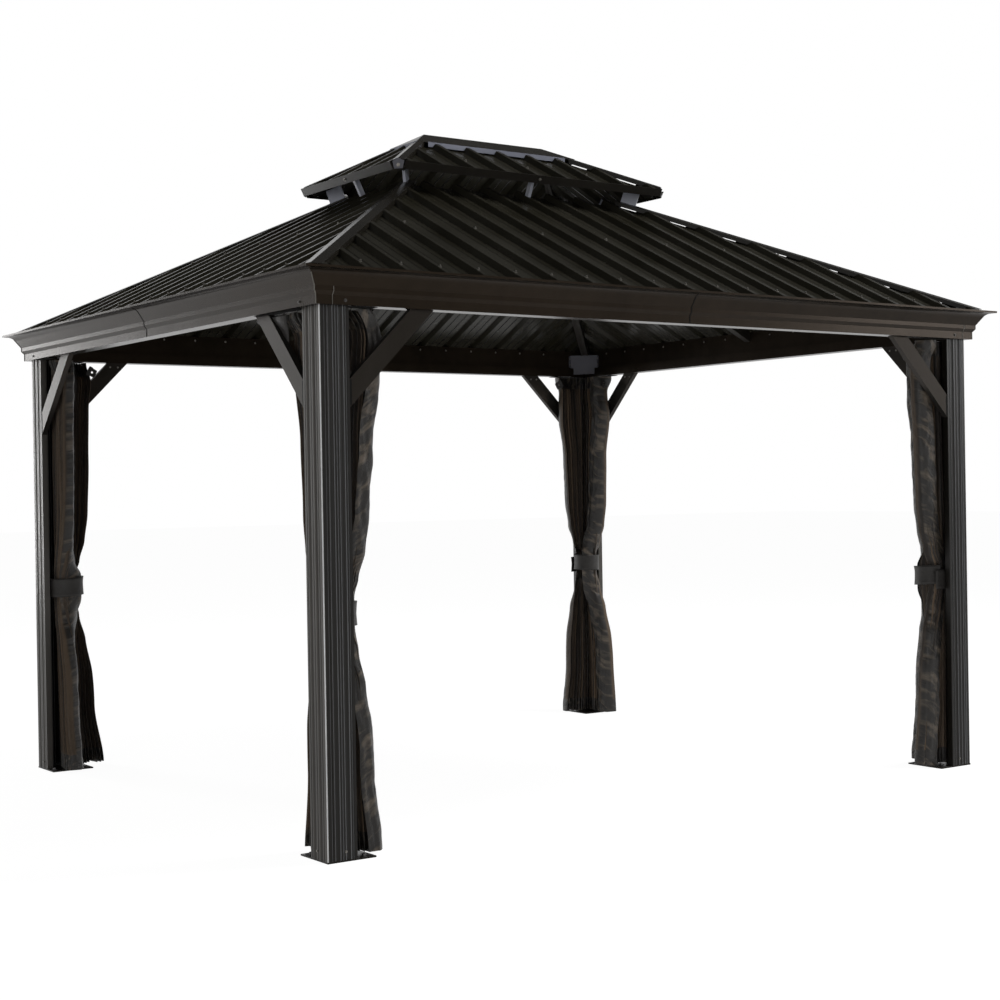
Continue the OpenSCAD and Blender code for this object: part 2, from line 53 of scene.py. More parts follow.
UP = Vector((0.0, 0.0, 1.0))
X_FOR_Y = Matrix(((0, 1, 0, 0), (1, 0, 0, 0), (0, 0, 1, 0), (0, 0, 0, 1)))
CLOSE = 1e-6
TINY = 1e-9


class Side(Enum):
    """The four sides of the roof, in quarter turns from the front."""

    FRONT = 0
    RIGHT = 1
    BACK = 2
    LEFT = 3

    @property
    def is_end(self) -> bool:
        """True for the two short ends."""
        return self.value % 2 == 1

    @property
    def turn(self) -> Matrix:
        """Turn from the front to this side."""
        return Matrix.Rotation(math.radians(90 * self.value), 4, "Z")


class Corner(Enum):
    """The four corners, by the signs of X and Y."""

    FRONT_LEFT = (-1, -1)
    FRONT_RIGHT = (1, -1)
    BACK_LEFT = (-1, 1)
    BACK_RIGHT = (1, 1)

    @property
    def label(self) -> str:
        """Name of the corner as the nodes give it."""
        return self.name.lower()

    def mirror(self, point: Vector) -> Vector:
        """Moves a front-left point or direction to this corner."""
        return Vector((-self.value[0] * point.x, -self.value[1] * point.y, point.z))

    @property
    def matrix(self) -> Matrix:
        """Mirror from the front-left corner to this one."""
        return Matrix.Diagonal((-self.value[0], -self.value[1], 1, 1))


class Slot(Enum):
    """Material slots of the part."""

    FRAME = "frame_metal"
    ROOF = "roof_metal"
    PLATE = "plate_metal"
    NET = "netting"


class Screw(Enum):
    """Kinds of screw: radius of washer and head, height of the head, sides."""

    CORNICE = (0.007, 0.0045, 0.004, 8)
    ROOF = (0.0085, 0.005, 0.006, 6)
    FRAME = (0.0055, 0.0038, 0.003, 8)
    RAIL = (0.006, 0.004, 0.004, 6)
    ANCHOR = (0.0145, 0.0085, 0.009, 6)
    EAVE = (0.008, 0.005, 0.005, 8)


@dataclass(frozen=True)
class Sizes:
    """Sizes of the bare frame, as the part's source gives them."""

    half_l: float = 1.816
    half_w: float = 1.533
    beam_height: float = 1.978
    lip_out: float = 0.08059
    lip_top: float = 0.12762
    post_setback: float = 0.025
    beam_depth: float = 0.055
    corner_arm: float = 0.067
    band_height: float = 0.033
    leg_width: float = 0.122
    sheet_drop: float = 0.039
    main_slope: float = 0.48
    upper_slope: float = 0.505
    upper_l: float = 0.758
    upper_w: float = 0.435
    vent_half: float = 0.270
    vent_rise: float = 0.047
    rib_pitch: float = 0.171
    rib_height: float = 0.022
    rib_top: float = 0.022
    rib_foot: float = 0.050
    cap_wing: float = 0.033
    upper_cap_wing: float = 0.026
    cap_metal: float = 0.003
    ridge_wing: float = 0.117
    trim_height: float = 0.037
    trim_above: float = 0.025
    eave_cut: float = 0.037
    gusset_width: float = 0.152
    brace_reach: float = 0.362
    brace_width: float = 0.071
    brace_thickness: float = 0.025
    brace_setback: float = 0.0015
    foot_plate: float = 0.006

    @property
    def band_x(self) -> float:
        """Distance of the end bands from the middle."""
        return self.half_l - self.lip_out

    @property
    def band_y(self) -> float:
        """Distance of the front and back bands from the middle."""
        return self.half_w - self.lip_out

    def band(self, end: bool) -> float:
        """Distance of the end bands, or else of the front and back ones, from the middle."""
        return self.band_x if end else self.band_y

    @property
    def post_x(self) -> float:
        """Distance of the posts' end faces from the middle."""
        return self.band_x - self.post_setback

    @property
    def post_y(self) -> float:
        """Distance of the posts' front faces from the middle."""
        return self.band_y - self.post_setback

    @property
    def hip_turn(self) -> float:
        """Run along Y for each unit along X on the hips."""
        return (self.half_w - self.upper_w) / (self.half_l - self.upper_l)

    @property
    def main_edge(self) -> float:
        """Height of the main pans at the cornice lip."""
        return self.beam_height + self.lip_top - self.sheet_drop

    @property
    def main_run(self) -> float:
        """Run of the front main slope from lip to vent."""
        return self.half_w - self.vent_half

    @property
    def upper_edge(self) -> float:
        """Height of the upper pans at their eave."""
        return self.main_edge + self.main_run * self.main_slope + self.vent_rise

    @property
    def ridge_half(self) -> float:
        """Half length of the ridge."""
        return self.upper_l - self.upper_w / self.hip_turn


SIZES = Sizes()


@dataclass(frozen=True)
class Slope:
    """One side of a roof tier, drawn along its eave and inwards from it."""

    side: Side
    half_length: float
    depth: float
    edge: float
    rise: float
    hip_run: float

    @classmethod
    def main(cls, side: Side) -> "Slope":
        """The main slope on a side."""
        return cls._of(side, SIZES.half_l, SIZES.half_w, SIZES.main_edge, SIZES.main_slope)

    @classmethod
    def upper(cls, side: Side) -> "Slope":
        """The upper slope on a side."""
        return cls._of(side, SIZES.upper_l, SIZES.upper_w, SIZES.upper_edge, SIZES.upper_slope)

    @classmethod
    def _of(cls, side: Side, length: float, width: float, edge: float, rise: float) -> "Slope":
        """Makes a slope of a tier from the tier's half sizes.

        Args:
            side: Side of the roof.
            length: Half length of the tier along X.
            width: Half width of the tier along Y.
            edge: Height of the pans at the eave.
            rise: Rise of the front slope for each unit of run.

        Returns:
            The slope on that side.
        """
        turn = SIZES.hip_turn
        if side.is_end:
            return cls(side, width, length, edge, rise * turn, turn)
        return cls(side, length, width, edge, rise, 1 / turn)

    @property
    def pitch(self) -> float:
        """Angle of the slope."""
        return math.atan(self.rise)

    @property
    def normal(self) -> Vector:
        """Direction square to the sheet."""
        return self.side.turn.to_3x3() @ Vector((0, -math.sin(self.pitch), math.cos(self.pitch)))

    @property
    def rib_lift(self) -> float:
        """Height of a rib's top straight above the pan."""
        return SIZES.rib_height / math.cos(self.pitch)

    def reach(self, run: float) -> float:
        """Half length of the slope at a run from its eave."""
        return self.half_length - run * self.hip_run

    def at(self, along: float, run: float, lift: float = 0.0) -> Vector:
        """Point over the pans, straight above them by lift."""
        z = self.edge + run * self.rise + lift
        return self.side.turn @ Vector((along, run - self.depth, z))

    def ribs(self) -> list[float]:
        """Places of the ribs along the eave, one of them on the middle line."""
        count = math.ceil(self.half_length / SIZES.rib_pitch)
        return [i * SIZES.rib_pitch for i in range(-count, count + 1)]


def linear(code: str) -> tuple[float, float, float, float]:
    """Turns an sRGB hex colour to linear light.

    Args:
        code: Colour as six hex digits after a hash.

    Returns:
        Red, green, blue and alpha.
    """
    channels = (int(code[i : i + 2], 16) / 255 for i in (1, 3, 5))
    lit = [c / 12.92 if c <= 0.04045 else ((c + 0.055) / 1.055) ** 2.4 for c in channels]
    return lit[0], lit[1], lit[2], 1.0


def add_node(
    tree: bpy.types.NodeTree, kind: str, settings: dict | None = None, links: dict | None = None
) -> bpy.types.Node:
    """Adds a node with its settings and the links into it.

    Args:
        tree: Node tree that gets the node.
        kind: Type of the node.
        settings: Values by input name or place, or by property name.
        links: Output sockets by input name or place.

    Returns:
        The new node.
    """
    node = tree.nodes.new(kind)
    for key, value in (settings or {}).items():
        if isinstance(key, int) or key in node.inputs:
            node.inputs[key].default_value = value
        else:
            setattr(node, key, value)
    for key, socket in (links or {}).items():
        tree.links.new(socket, node.inputs[key])
    return node


def new_material(name: str) -> tuple[bpy.types.Material, bpy.types.NodeTree, bpy.types.Node]:
    """Makes a bare material.

    Args:
        name: Name of the finish.

    Returns:
        The material, its node tree and its surface shader.
    """
    material = bpy.data.materials.new(name)
    material.use_nodes = True
    tree = material.node_tree
    return material, tree, tree.nodes["Principled BSDF"]


def coat_grain(
    tree: bpy.types.NodeTree,
    shader: bpy.types.Node,
    place: bpy.types.NodeSocket,
    cloud: bpy.types.Node,
    roughness: float,
    peel_mm: float,
) -> None:
    """Gives a powder coat its cloudy roughness and its orange peel.

    Args:
        tree: Node tree of the coat.
        shader: Its surface shader.
        place: Coordinates on the object.
        cloud: Noise of the coat's broad clouding.
        roughness: Roughness of the coat.
        peel_mm: Size of the orange peel.
    """
    dull = add_node(
        tree,
        "ShaderNodeMapRange",
        {"To Min": roughness - 0.05, "To Max": roughness + 0.07},
        {"Value": cloud.outputs["Fac"]},
    )
    tree.links.new(dull.outputs["Result"], shader.inputs["Roughness"])
    # Orange peel is about 3 mm across; it is drawn a little coarser so that it shows.
    peel = add_node(
        tree, "ShaderNodeTexNoise", {"Scale": 1 / (peel_mm * MM), "Detail": 1.0}, {"Vector": place}
    )
    bump = add_node(
        tree, "ShaderNodeBump", {"Strength": 0.25, "Distance": 0.0006}, {"Height": peel.outputs["Fac"]}
    )
    tree.links.new(bump.outputs["Normal"], shader.inputs["Normal"])


@dataclass(frozen=True)
class PowderCoat:
    """Stoved polyester powder on rolled metal: near-black brown, soft sheen, faint orange peel."""

    name: str
    colour: str
    shade: str
    roughness: float
    gloss: float
    sheen: str = "#ffffff"
    cloud_mm: float = 380.0
    peel_mm: float = 7.0
    rain_mm: float = 60.0

    def make(self) -> bpy.types.Material:
        """Builds the finish.

        Returns:
            The material.
        """
        material, tree, shader = new_material(self.name)
        place = add_node(tree, "ShaderNodeTexCoord").outputs["Object"]
        # Broad clouding of the coat, and fainter streaks that rain leaves down each face.
        cloud = add_node(
            tree, "ShaderNodeTexNoise", {"Scale": 1 / (self.cloud_mm * MM), "Detail": 3.0}, {"Vector": place}
        )
        drawn = add_node(tree, "ShaderNodeMapping", {"Scale": (1.0, 1.0, 0.08)}, {"Vector": place})
        rain = add_node(
            tree,
            "ShaderNodeTexNoise",
            {"Scale": 1 / (self.rain_mm * MM), "Detail": 2.0},
            {"Vector": drawn.outputs["Vector"]},
        )
        both = add_node(
            tree,
            "ShaderNodeMath",
            {"operation": "MULTIPLY_ADD", 1: 0.45},
            {0: rain.outputs["Fac"], 2: cloud.outputs["Fac"]},
        )
        tone = add_node(
            tree,
            "ShaderNodeMapRange",
            {"From Min": 0.5, "From Max": 0.95},
            {"Value": both.outputs["Value"]},
        )
        mix = add_node(
            tree,
            "ShaderNodeMix",
            {"data_type": "RGBA", 6: linear(self.shade), 7: linear(self.colour)},
            {0: tone.outputs["Result"]},
        )
        tree.links.new(mix.outputs[2], shader.inputs["Base Color"])
        coat_grain(tree, shader, place, cloud, self.roughness, self.peel_mm)
        shader.inputs["Specular IOR Level"].default_value = self.gloss
        shader.inputs["Specular Tint"].default_value = linear(self.sheen)
        return material


@dataclass(frozen=True)
class FlutedCoat:
    """Powder coat on a fluted corner post: near-black front with painted highlights on its flute edges and
    outer corner, and end faces painted lighter as if lit, with painted shade in their grooves.
    """

    name: str
    colour: str = "#181613"
    # Painted highlight along the flute edges of the outer faces.
    edge: str = "#7d7e80"
    # Painted highlight down the post's outer corner.
    corner: str = "#ffffff"
    # End faces painted lighter, as if lit.
    side: str = "#524f4b"
    # Painted shade in the end faces' grooves.
    groove_shade: str = "#17130f"
    roughness: float = 0.3
    gloss: float = 0.19
    highlight_lines_mm: tuple[float, ...] = (21.0, 33.0, 54.0, 66.0, 76.0, 98.0, 108.0)
    highlight_line_half_mm: float = 2.2
    shaded_grooves_mm: tuple[float, ...] = (23.0, 45.0, 65.0, 90.0, 108.0)
    shaded_groove_half_mm: float = 4.5
    corner_highlight_mm: float = 2.6
    cloud_mm: float = 300.0
    peel_mm: float = 7.0

    def make(self) -> bpy.types.Material:
        """Builds the finish.

        Returns:
            The material.
        """
        material, tree, shader = new_material(self.name)
        place = add_node(tree, "ShaderNodeTexCoord").outputs["Object"]
        axes = add_node(tree, "ShaderNodeSeparateXYZ", links={"Vector": place})
        # On an outer face one of these two is nought, and the other counts from the post's corner.
        spans = []
        for axis, face in (("X", SIZES.post_x), ("Y", SIZES.post_y)):
            far = add_node(tree, "ShaderNodeMath", {"operation": "ABSOLUTE"}, {0: axes.outputs[axis]})
            off = add_node(
                tree, "ShaderNodeMath", {"operation": "SUBTRACT", 0: face}, {1: far.outputs["Value"]}
            )
            spans.append(off.outputs["Value"])
        tones = []
        # Outer faces get the coat and its painted highlight lines; end faces get the painted lit tone and the
        # painted shade of their grooves.
        for span, stops, last in (
            (spans[0], self.stops(self.highlight_lines_mm, self.highlight_line_half_mm, self.colour, self.edge), self.colour),
            (spans[1], self.stops(self.shaded_grooves_mm, self.shaded_groove_half_mm, self.side, self.groove_shade), self.side),
        ):
            share = add_node(
                tree, "ShaderNodeMapRange", {"From Min": 0.0, "From Max": SIZES.leg_width}, {"Value": span}
            )
            ramp = add_node(tree, "ShaderNodeValToRGB", links={"Fac": share.outputs["Result"]})
            ends = ramp.color_ramp.elements
            # Each face starts at the white painted highlight of the outer corner.
            ends[0].color, ends[1].color = linear(self.corner), linear(last)
            for at, code in stops:
                ramp.color_ramp.elements.new(at).color = linear(code)
            tones.append(ramp.outputs["Color"])
        ended = add_node(
            tree, "ShaderNodeMath", {"operation": "GREATER_THAN"}, {0: spans[1], 1: spans[0]}
        )
        lines = add_node(
            tree,
            "ShaderNodeMix",
            {"data_type": "RGBA"},
            {0: ended.outputs["Value"], 6: tones[0], 7: tones[1]},
        )
        cloud = add_node(
            tree, "ShaderNodeTexNoise", {"Scale": 1 / (self.cloud_mm * MM), "Detail": 3.0}, {"Vector": place}
        )
        tone = add_node(
            tree, "ShaderNodeMapRange", {"To Min": 0.7, "To Max": 1.25}, {"Value": cloud.outputs["Fac"]}
        )
        mix = add_node(
            tree,
            "ShaderNodeMix",
            {"data_type": "RGBA", "blend_type": "MULTIPLY", 0: 1.0},
            {6: lines.outputs[2], 7: tone.outputs["Result"]},
        )
        tree.links.new(mix.outputs[2], shader.inputs["Base Color"])
        coat_grain(tree, shader, place, cloud, self.roughness, self.peel_mm)
        shader.inputs["Specular IOR Level"].default_value = self.gloss
        return material

    def stops(self, places: Sequence[float], half: float, ground: str, line: str) -> list[tuple[float, str]]:
        """Lists the colours across a face, from the post's corner, whose painted highlight comes first.

        Args:
            places: Middles of the lines on the face, in mm.
            half: Half width of a line, in mm.
            ground: Colour of the face; on the end faces it is painted lighter as if lit.
            line: Colour of the lines: painted highlights on the outer faces, painted shade on the end faces.

        Returns:
            Shares of the leg's width and their colours.
        """
        wide = SIZES.leg_width / MM
        found = [(self.corner_highlight_mm / wide, self.corner), (2 * self.corner_highlight_mm / wide, ground)]
        for place in places:
            found.append(((place - half) / wide, ground))
            found.append((place / wide, line))
            found.append(((place + half) / wide, ground))
        return found


class Along(Enum):
    """Axis that a slope's eave runs along, by its letter."""

    X = "X"
    Y = "Y"


@dataclass(frozen=True)
class RoofSheet:
    """Coil-coated roll-formed steel sheet: almost black, satin, two fine stiffening beads in each pan,
    painted near-black as shaded grooves.
    """

    name: str
    along: Along
    colour: str = "#2f2d26"
    shade: str = "#232119"
    roughness: float = 0.24
    gloss: float = 0.12
    # Painted shade of the beads' grooves.
    bead: str = "#0a0908"
    bead_mm: float = 25.0
    bead_width_mm: float = 5.0
    cloud_mm: float = 260.0

    def make(self) -> bpy.types.Material:
        """Builds the finish.

        Returns:
            The material.
        """
        material, tree, shader = new_material(self.name)
        place = add_node(tree, "ShaderNodeTexCoord").outputs["Object"]
        axes = add_node(tree, "ShaderNodeSeparateXYZ", links={"Vector": place})
        # Ribs stand at each whole pitch from the centre, so a pan's middle is half a pitch from them.
        pan = add_node(
            tree,
            "ShaderNodeMath",
            {"operation": "PINGPONG", 1: SIZES.rib_pitch / 2},
            {0: axes.outputs[self.along.value]},
        )
        off = add_node(
            tree,
            "ShaderNodeMath",
            {"operation": "SUBTRACT", 1: SIZES.rib_pitch / 2 - self.bead_mm * MM},
            {0: pan.outputs["Value"]},
        )
        near = add_node(tree, "ShaderNodeMath", {"operation": "ABSOLUTE"}, {0: off.outputs["Value"]})
        bead = add_node(
            tree,
            "ShaderNodeMapRange",
            {"From Min": 0.0, "From Max": self.bead_width_mm * MM, "To Min": 1.0, "To Max": 0.0},
            {"Value": near.outputs["Value"]},
        )
        cloud = add_node(
            tree, "ShaderNodeTexNoise", {"Scale": 1 / (self.cloud_mm * MM), "Detail": 4.0}, {"Vector": place}
        )
        tone = add_node(
            tree, "ShaderNodeMapRange", {"From Min": 0.3, "From Max": 0.7}, {"Value": cloud.outputs["Fac"]}
        )
        mix = add_node(
            tree,
            "ShaderNodeMix",
            {"data_type": "RGBA", 6: linear(self.shade), 7: linear(self.colour)},
            {0: tone.outputs["Result"]},
        )
        # The beads are painted near-black: painted shade in their grooves.
        dark = add_node(
            tree,
            "ShaderNodeMix",
            {"data_type": "RGBA", 7: linear(self.bead)},
            {0: bead.outputs["Result"], 6: mix.outputs[2]},
        )
        tree.links.new(dark.outputs[2], shader.inputs["Base Color"])
        dull = add_node(
            tree,
            "ShaderNodeMapRange",
            {"To Min": self.roughness - 0.06, "To Max": self.roughness + 0.08},
            {"Value": cloud.outputs["Fac"]},
        )
        tree.links.new(dull.outputs["Result"], shader.inputs["Roughness"])
        bump = add_node(
            tree,
            "ShaderNodeBump",
            {"Strength": 0.7, "Distance": 0.002},
            {"Height": bead.outputs["Result"]},
        )
        tree.links.new(bump.outputs["Normal"], shader.inputs["Normal"])
        shader.inputs["Specular IOR Level"].default_value = self.gloss
        return material


@dataclass(frozen=True)
class NetCloth:
    """Polyester mosquito net with satin-woven borders: bronze streaks of painted light on painted shade,
    painted highlights on the satin's creases, dull sheen.
    """

    name: str
    flat: tuple[float, float]
    border: float
    hem: float = 0.07
    # The net's colour is painted light and shade: lit streaks in this colour, painted shade in the next.
    lit_streak: str = "#7c6955"
    shade: str = "#1e1915"
    satin: str = "#1f1c19"
    satin_lit: str = "#72675a"
    weave_mm: float = 4.0
    lit_streak_mm: float = 90.0
    crease_mm: float = 60.0

    def make(self) -> bpy.types.Material:
        """Builds the finish on the cloth's own flat map, in metres of cloth.

        Returns:
            The material.
        """
        material, tree, shader = new_material(self.name)
        flat = add_node(tree, "ShaderNodeTexCoord").outputs["UV"]
        axes = add_node(tree, "ShaderNodeSeparateXYZ", links={"Vector": flat})
        # Borders: the satin tape down both edges, the hem and the heading.
        tape = self._border(tree, axes.outputs["X"], self.flat[0], self.border)
        hem = self._border(tree, axes.outputs["Y"], self.flat[1], self.hem)
        edge = add_node(
            tree, "ShaderNodeMath", {"operation": "MAXIMUM"}, {0: tape.outputs[0], 1: hem.outputs[0]}
        )
        # Bronze streaks of painted light on the net, with painted shade between them.
        drawn = add_node(tree, "ShaderNodeMapping", {"Scale": (1.0, 0.03, 1.0)}, {"Vector": flat})
        lit_streak_noise = add_node(
            tree,
            "ShaderNodeTexNoise",
            {"Scale": 1 / (self.lit_streak_mm * MM), "Detail": 3.0, "Roughness": 0.6},
            {"Vector": drawn.outputs["Vector"]},
        )
        lit = add_node(
            tree, "ShaderNodeMapRange", {"From Min": 0.42, "From Max": 0.72}, {"Value": lit_streak_noise.outputs["Fac"]}
        )
        net = add_node(
            tree,
            "ShaderNodeMix",
            {"data_type": "RGBA", 6: linear(self.shade), 7: linear(self.lit_streak)},
            {0: lit.outputs["Result"]},
        )
        # Creases run slantwise across the border, from its stitched edge; their lit patches are painted
        # highlights.
        slant = add_node(
            tree,
            "ShaderNodeMapping",
            {"vector_type": "TEXTURE", "Rotation": (0.0, 0.0, 0.7), "Scale": (1.5, 0.6, 1.0)},
            {"Vector": flat},
        )
        crease = add_node(
            tree,
            "ShaderNodeTexNoise",
            {"Scale": 1 / (self.crease_mm * MM), "Detail": 3.0, "Roughness": 0.55, "Distortion": 0.5},
            {"Vector": slant.outputs["Vector"]},
        )
        shine = add_node(
            tree, "ShaderNodeMapRange", {"From Min": 0.5, "From Max": 0.78}, {"Value": crease.outputs["Fac"]}
        )
        # The satin's colour is painted light: crease highlights in the lit colour, painted shade between
        # them.
        satin = add_node(
            tree,
            "ShaderNodeMix",
            {"data_type": "RGBA", 6: linear(self.satin), 7: linear(self.satin_lit)},
            {0: shine.outputs["Result"]},
        )
        colour = add_node(
            tree,
            "ShaderNodeMix",
            {"data_type": "RGBA"},
            {0: edge.outputs["Value"], 6: net.outputs[2], 7: satin.outputs[2]},
        )
        tree.links.new(colour.outputs[2], shader.inputs["Base Color"])
        dull = add_node(
            tree, "ShaderNodeMapRange", {"To Min": 0.62, "To Max": 0.38}, {"Value": edge.outputs["Value"]}
        )
        tree.links.new(dull.outputs["Result"], shader.inputs["Roughness"])
        # The mesh is about 1.2 mm; it is drawn coarser so that it shows as a grain.
        weave = add_node(
            tree,
            "ShaderNodeTexVoronoi",
            {"Scale": 1 / (self.weave_mm * MM), "distance": "CHEBYCHEV"},
            {"Vector": flat},
        )
        height = add_node(
            tree,
            "ShaderNodeMath",
            {"operation": "MULTIPLY_ADD", 1: 7.0},
            {0: crease.outputs["Fac"], 2: weave.outputs["Distance"]},
        )
        bump = add_node(
            tree, "ShaderNodeBump", {"Strength": 0.5, "Distance": 0.002}, {"Height": height.outputs["Value"]}
        )
        tree.links.new(bump.outputs["Normal"], shader.inputs["Normal"])
        solid = add_node(
            tree, "ShaderNodeMapRange", {"To Min": 0.97, "To Max": 1.0}, {"Value": edge.outputs["Value"]}
        )
        tree.links.new(solid.outputs["Result"], shader.inputs["Alpha"])
        shader.inputs["Specular IOR Level"].default_value = 0.3
        shader.inputs["Sheen Weight"].default_value = 0.12
        shader.inputs["Sheen Roughness"].default_value = 0.4
        return material

    def _border(
        self, tree: bpy.types.NodeTree, along: bpy.types.NodeSocket, size: float, width: float
    ) -> bpy.types.Node:
        """Adds a mask that is 1 within a border's width of either edge.

        Args:
            tree: Node tree of the cloth.
            along: Place across the cloth, in metres.
            size: Size of the cloth that way.
            width: Width of the border.

        Returns:
            The node of the mask.
        """
        off = add_node(tree, "ShaderNodeMath", {"operation": "SUBTRACT", 1: size / 2}, {0: along})
        far = add_node(tree, "ShaderNodeMath", {"operation": "ABSOLUTE"}, {0: off.outputs["Value"]})
        start = size / 2 - width
        return add_node(
            tree,
            "ShaderNodeMapRange",
            {"From Min": start - 0.002, "From Max": start + 0.002},
            {"Value": far.outputs["Value"]},
        )


@dataclass(frozen=True)
class SatinTape:
    """Satin-woven polyester tape: dull black-brown, a soft crinkled shine, its crinkles painted lighter and
    darker as lit and shaded.
    """

    name: str
    colour: str = "#2c2926"
    shade: str = "#1b1917"
    roughness: float = 0.5
    gloss: float = 0.3
    crease_mm: float = 30.0
    thread_mm: float = 3.0

    def make(self) -> bpy.types.Material:
        """Builds the finish.

        Returns:
            The material.
        """
        material, tree, shader = new_material(self.name)
        place = add_node(tree, "ShaderNodeTexCoord").outputs["Object"]
        crease = add_node(
            tree,
            "ShaderNodeTexNoise",
            {"Scale": 1 / (self.crease_mm * MM), "Detail": 4.0, "Distortion": 0.6},
            {"Vector": place},
        )
        # Painted light and shade on the crinkles: the colour follows the noise that also bumps them.
        mix = add_node(
            tree,
            "ShaderNodeMix",
            {"data_type": "RGBA", 6: linear(self.shade), 7: linear(self.colour)},
            {0: crease.outputs["Fac"]},
        )
        tree.links.new(mix.outputs[2], shader.inputs["Base Color"])
        # Threads are about 0.4 mm; they are drawn coarser so that they show.
        rows = add_node(
            tree,
            "ShaderNodeTexWave",
            {"Scale": 1 / (self.thread_mm * MM * 2 * math.pi), "bands_direction": "Z", "Distortion": 0.4},
            {"Vector": place},
        )
        height = add_node(
            tree,
            "ShaderNodeMath",
            {"operation": "MULTIPLY_ADD", 1: 4.0},
            {0: crease.outputs["Fac"], 2: rows.outputs["Fac"]},
        )
        bump = add_node(
            tree, "ShaderNodeBump", {"Strength": 0.5, "Distance": 0.0012}, {"Height": height.outputs["Value"]}
        )
        tree.links.new(bump.outputs["Normal"], shader.inputs["Normal"])
        shader.inputs["Roughness"].default_value = self.roughness
        shader.inputs["Specular IOR Level"].default_value = self.gloss
        shader.inputs["Sheen Weight"].default_value = self.gloss / 3
        return material


@dataclass(frozen=True)
class BareMetal:
    """Plated steel of a small fitting: grey metal, finely worn, a scatter of dull spots."""

    name: str
    colour: str
    shade: str
    roughness: float
    metallic: float
    spot_mm: float = 4.0

    def make(self) -> bpy.types.Material:
        """Builds the finish.

        Returns:
            The material.
        """
        material, tree, shader = new_material(self.name)
        place = add_node(tree, "ShaderNodeTexCoord").outputs["Object"]
        spots = add_node(
            tree, "ShaderNodeTexNoise", {"Scale": 1 / (self.spot_mm * MM), "Detail": 3.0}, {"Vector": place}
        )
        mix = add_node(
            tree,
            "ShaderNodeMix",
            {"data_type": "RGBA", 6: linear(self.shade), 7: linear(self.colour)},
            {0: spots.outputs["Fac"]},
        )
        tree.links.new(mix.outputs[2], shader.inputs["Base Color"])
        dull = add_node(
            tree,
            "ShaderNodeMapRange",
            {"To Min": self.roughness - 0.08, "To Max": self.roughness + 0.12},
            {"Value": spots.outputs["Fac"]},
        )
        tree.links.new(dull.outputs["Result"], shader.inputs["Roughness"])
        bump = add_node(
            tree, "ShaderNodeBump", {"Strength": 0.2, "Distance": 0.0004}, {"Height": spots.outputs["Fac"]}
        )
        tree.links.new(bump.outputs["Normal"], shader.inputs["Normal"])
        shader.inputs["Metallic"].default_value = self.metallic
        return material


class Palette:
    """All the finishes of the gazebo, each made once."""

    def __init__(self) -> None:
        """Makes the materials."""
        self.post = FlutedCoat("powder_coated_post").make()
        self.frame = PowderCoat("powder_coated_frame", "#28251f", "#1d1a17", 0.3, 0.13).make()
        self.cornice = PowderCoat("powder_coated_cornice", "#26201a", "#1b1712", 0.24, 0.11, "#ffdcba").make()
        self.brace = PowderCoat("powder_coated_brace", "#2c2a28", "#21201e", 0.36, 0.13, "#ffe3c8").make()
        self.plate = PowderCoat("zinc_primed_plate", "#56565e", "#43434b", 0.4, 0.4).make()
        self.zinc = PowderCoat("bright_zinc_plate", "#bfc2cd", "#a3a6b2", 0.35, 0.5).make()
        self.strip = PowderCoat("dull_zinc_strip", "#7f8290", "#6a6d7a", 0.4, 0.4).make()
        self.cap = PowderCoat("folded_cap_coat", "#2b2823", "#1f1d19", 0.17, 0.14).make()
        self.inside = PowderCoat("shaded_rafter_coat", "#26231f", "#1a1815", 0.5, 0.16).make()
        self.roof_x = RoofSheet("ribbed_sheet_front_back", Along.X).make()
        self.roof_y = RoofSheet("ribbed_sheet_ends", Along.Y).make()
        self.tape = SatinTape("satin_tie_tape").make()
        self.heading = SatinTape("dull_heading_tape", "#191715", "#0f0e0d", 0.95, 0.03).make()
        self.screw = BareMetal("dull_steel_screw", "#8c8983", "#5f5c57", 0.3, 0.85).make()
        self.painted = BareMetal("coated_steel_screw", "#4a4743", "#2f2c29", 0.35, 0.3).make()
        self.bolt = BareMetal("dull_zinc_bolt", "#6b6a68", "#48474a", 0.4, 0.9).make()
        self.grommet = BareMetal("blackened_brass_eyelet", "#4a443c", "#322e29", 0.35, 0.8).make()
        # Black seal for the cornice's joint strips; the same black paints the shadow gap at each brace's end.
        self.seal_and_shadow = PowderCoat("black_joint_seal", "#0d0c0b", "#070706", 0.6, 0.1).make()
        # Pale strips painted as highlights on the cornice's corner seams and corners.
        self.seam = PowderCoat("painted_joint_highlight", "#7c7973", "#54514c", 0.4, 0.2).make()


def select_only(*objects: bpy.types.Object) -> None:
    """Selects these objects alone and makes the first one active."""
    bpy.ops.object.select_all(action="DESELECT")
    for thing in objects:
        thing.select_set(True)
    bpy.context.view_layer.objects.active = objects[0]


@contextmanager
def editing(thing: bpy.types.Object, mode: str = "FACE") -> Iterator[None]:
    """Opens an object for editing, with nothing selected in it.

    Args:
        thing: Object to edit.
        mode: What is selected: VERT, EDGE or FACE.

    Yields:
        Nothing; the object is in edit mode inside the block.
    """
    select_only(thing)
    bpy.ops.object.mode_set(mode="EDIT")
    bpy.ops.mesh.select_mode(type=mode)
    bpy.ops.mesh.select_all(action="DESELECT")
    yield
    bpy.ops.object.mode_set(mode="OBJECT")


def pick(thing: bpy.types.Object, kind: str, test: Callable[..., bool]) -> None:
    """Selects the parts of an edited mesh that pass a test, and no others.

    Args:
        thing: Object in edit mode.
        kind: verts, edges or faces.
        test: Says whether one of them is wanted.
    """
    mesh = bmesh.from_edit_mesh(thing.data)
    for item in (*mesh.verts, *mesh.edges, *mesh.faces):
        item.select = False
    for item in getattr(mesh, kind):
        if test(item):
            item.select_set(True)
    mesh.select_flush_mode()
    bmesh.update_edit_mesh(thing.data)


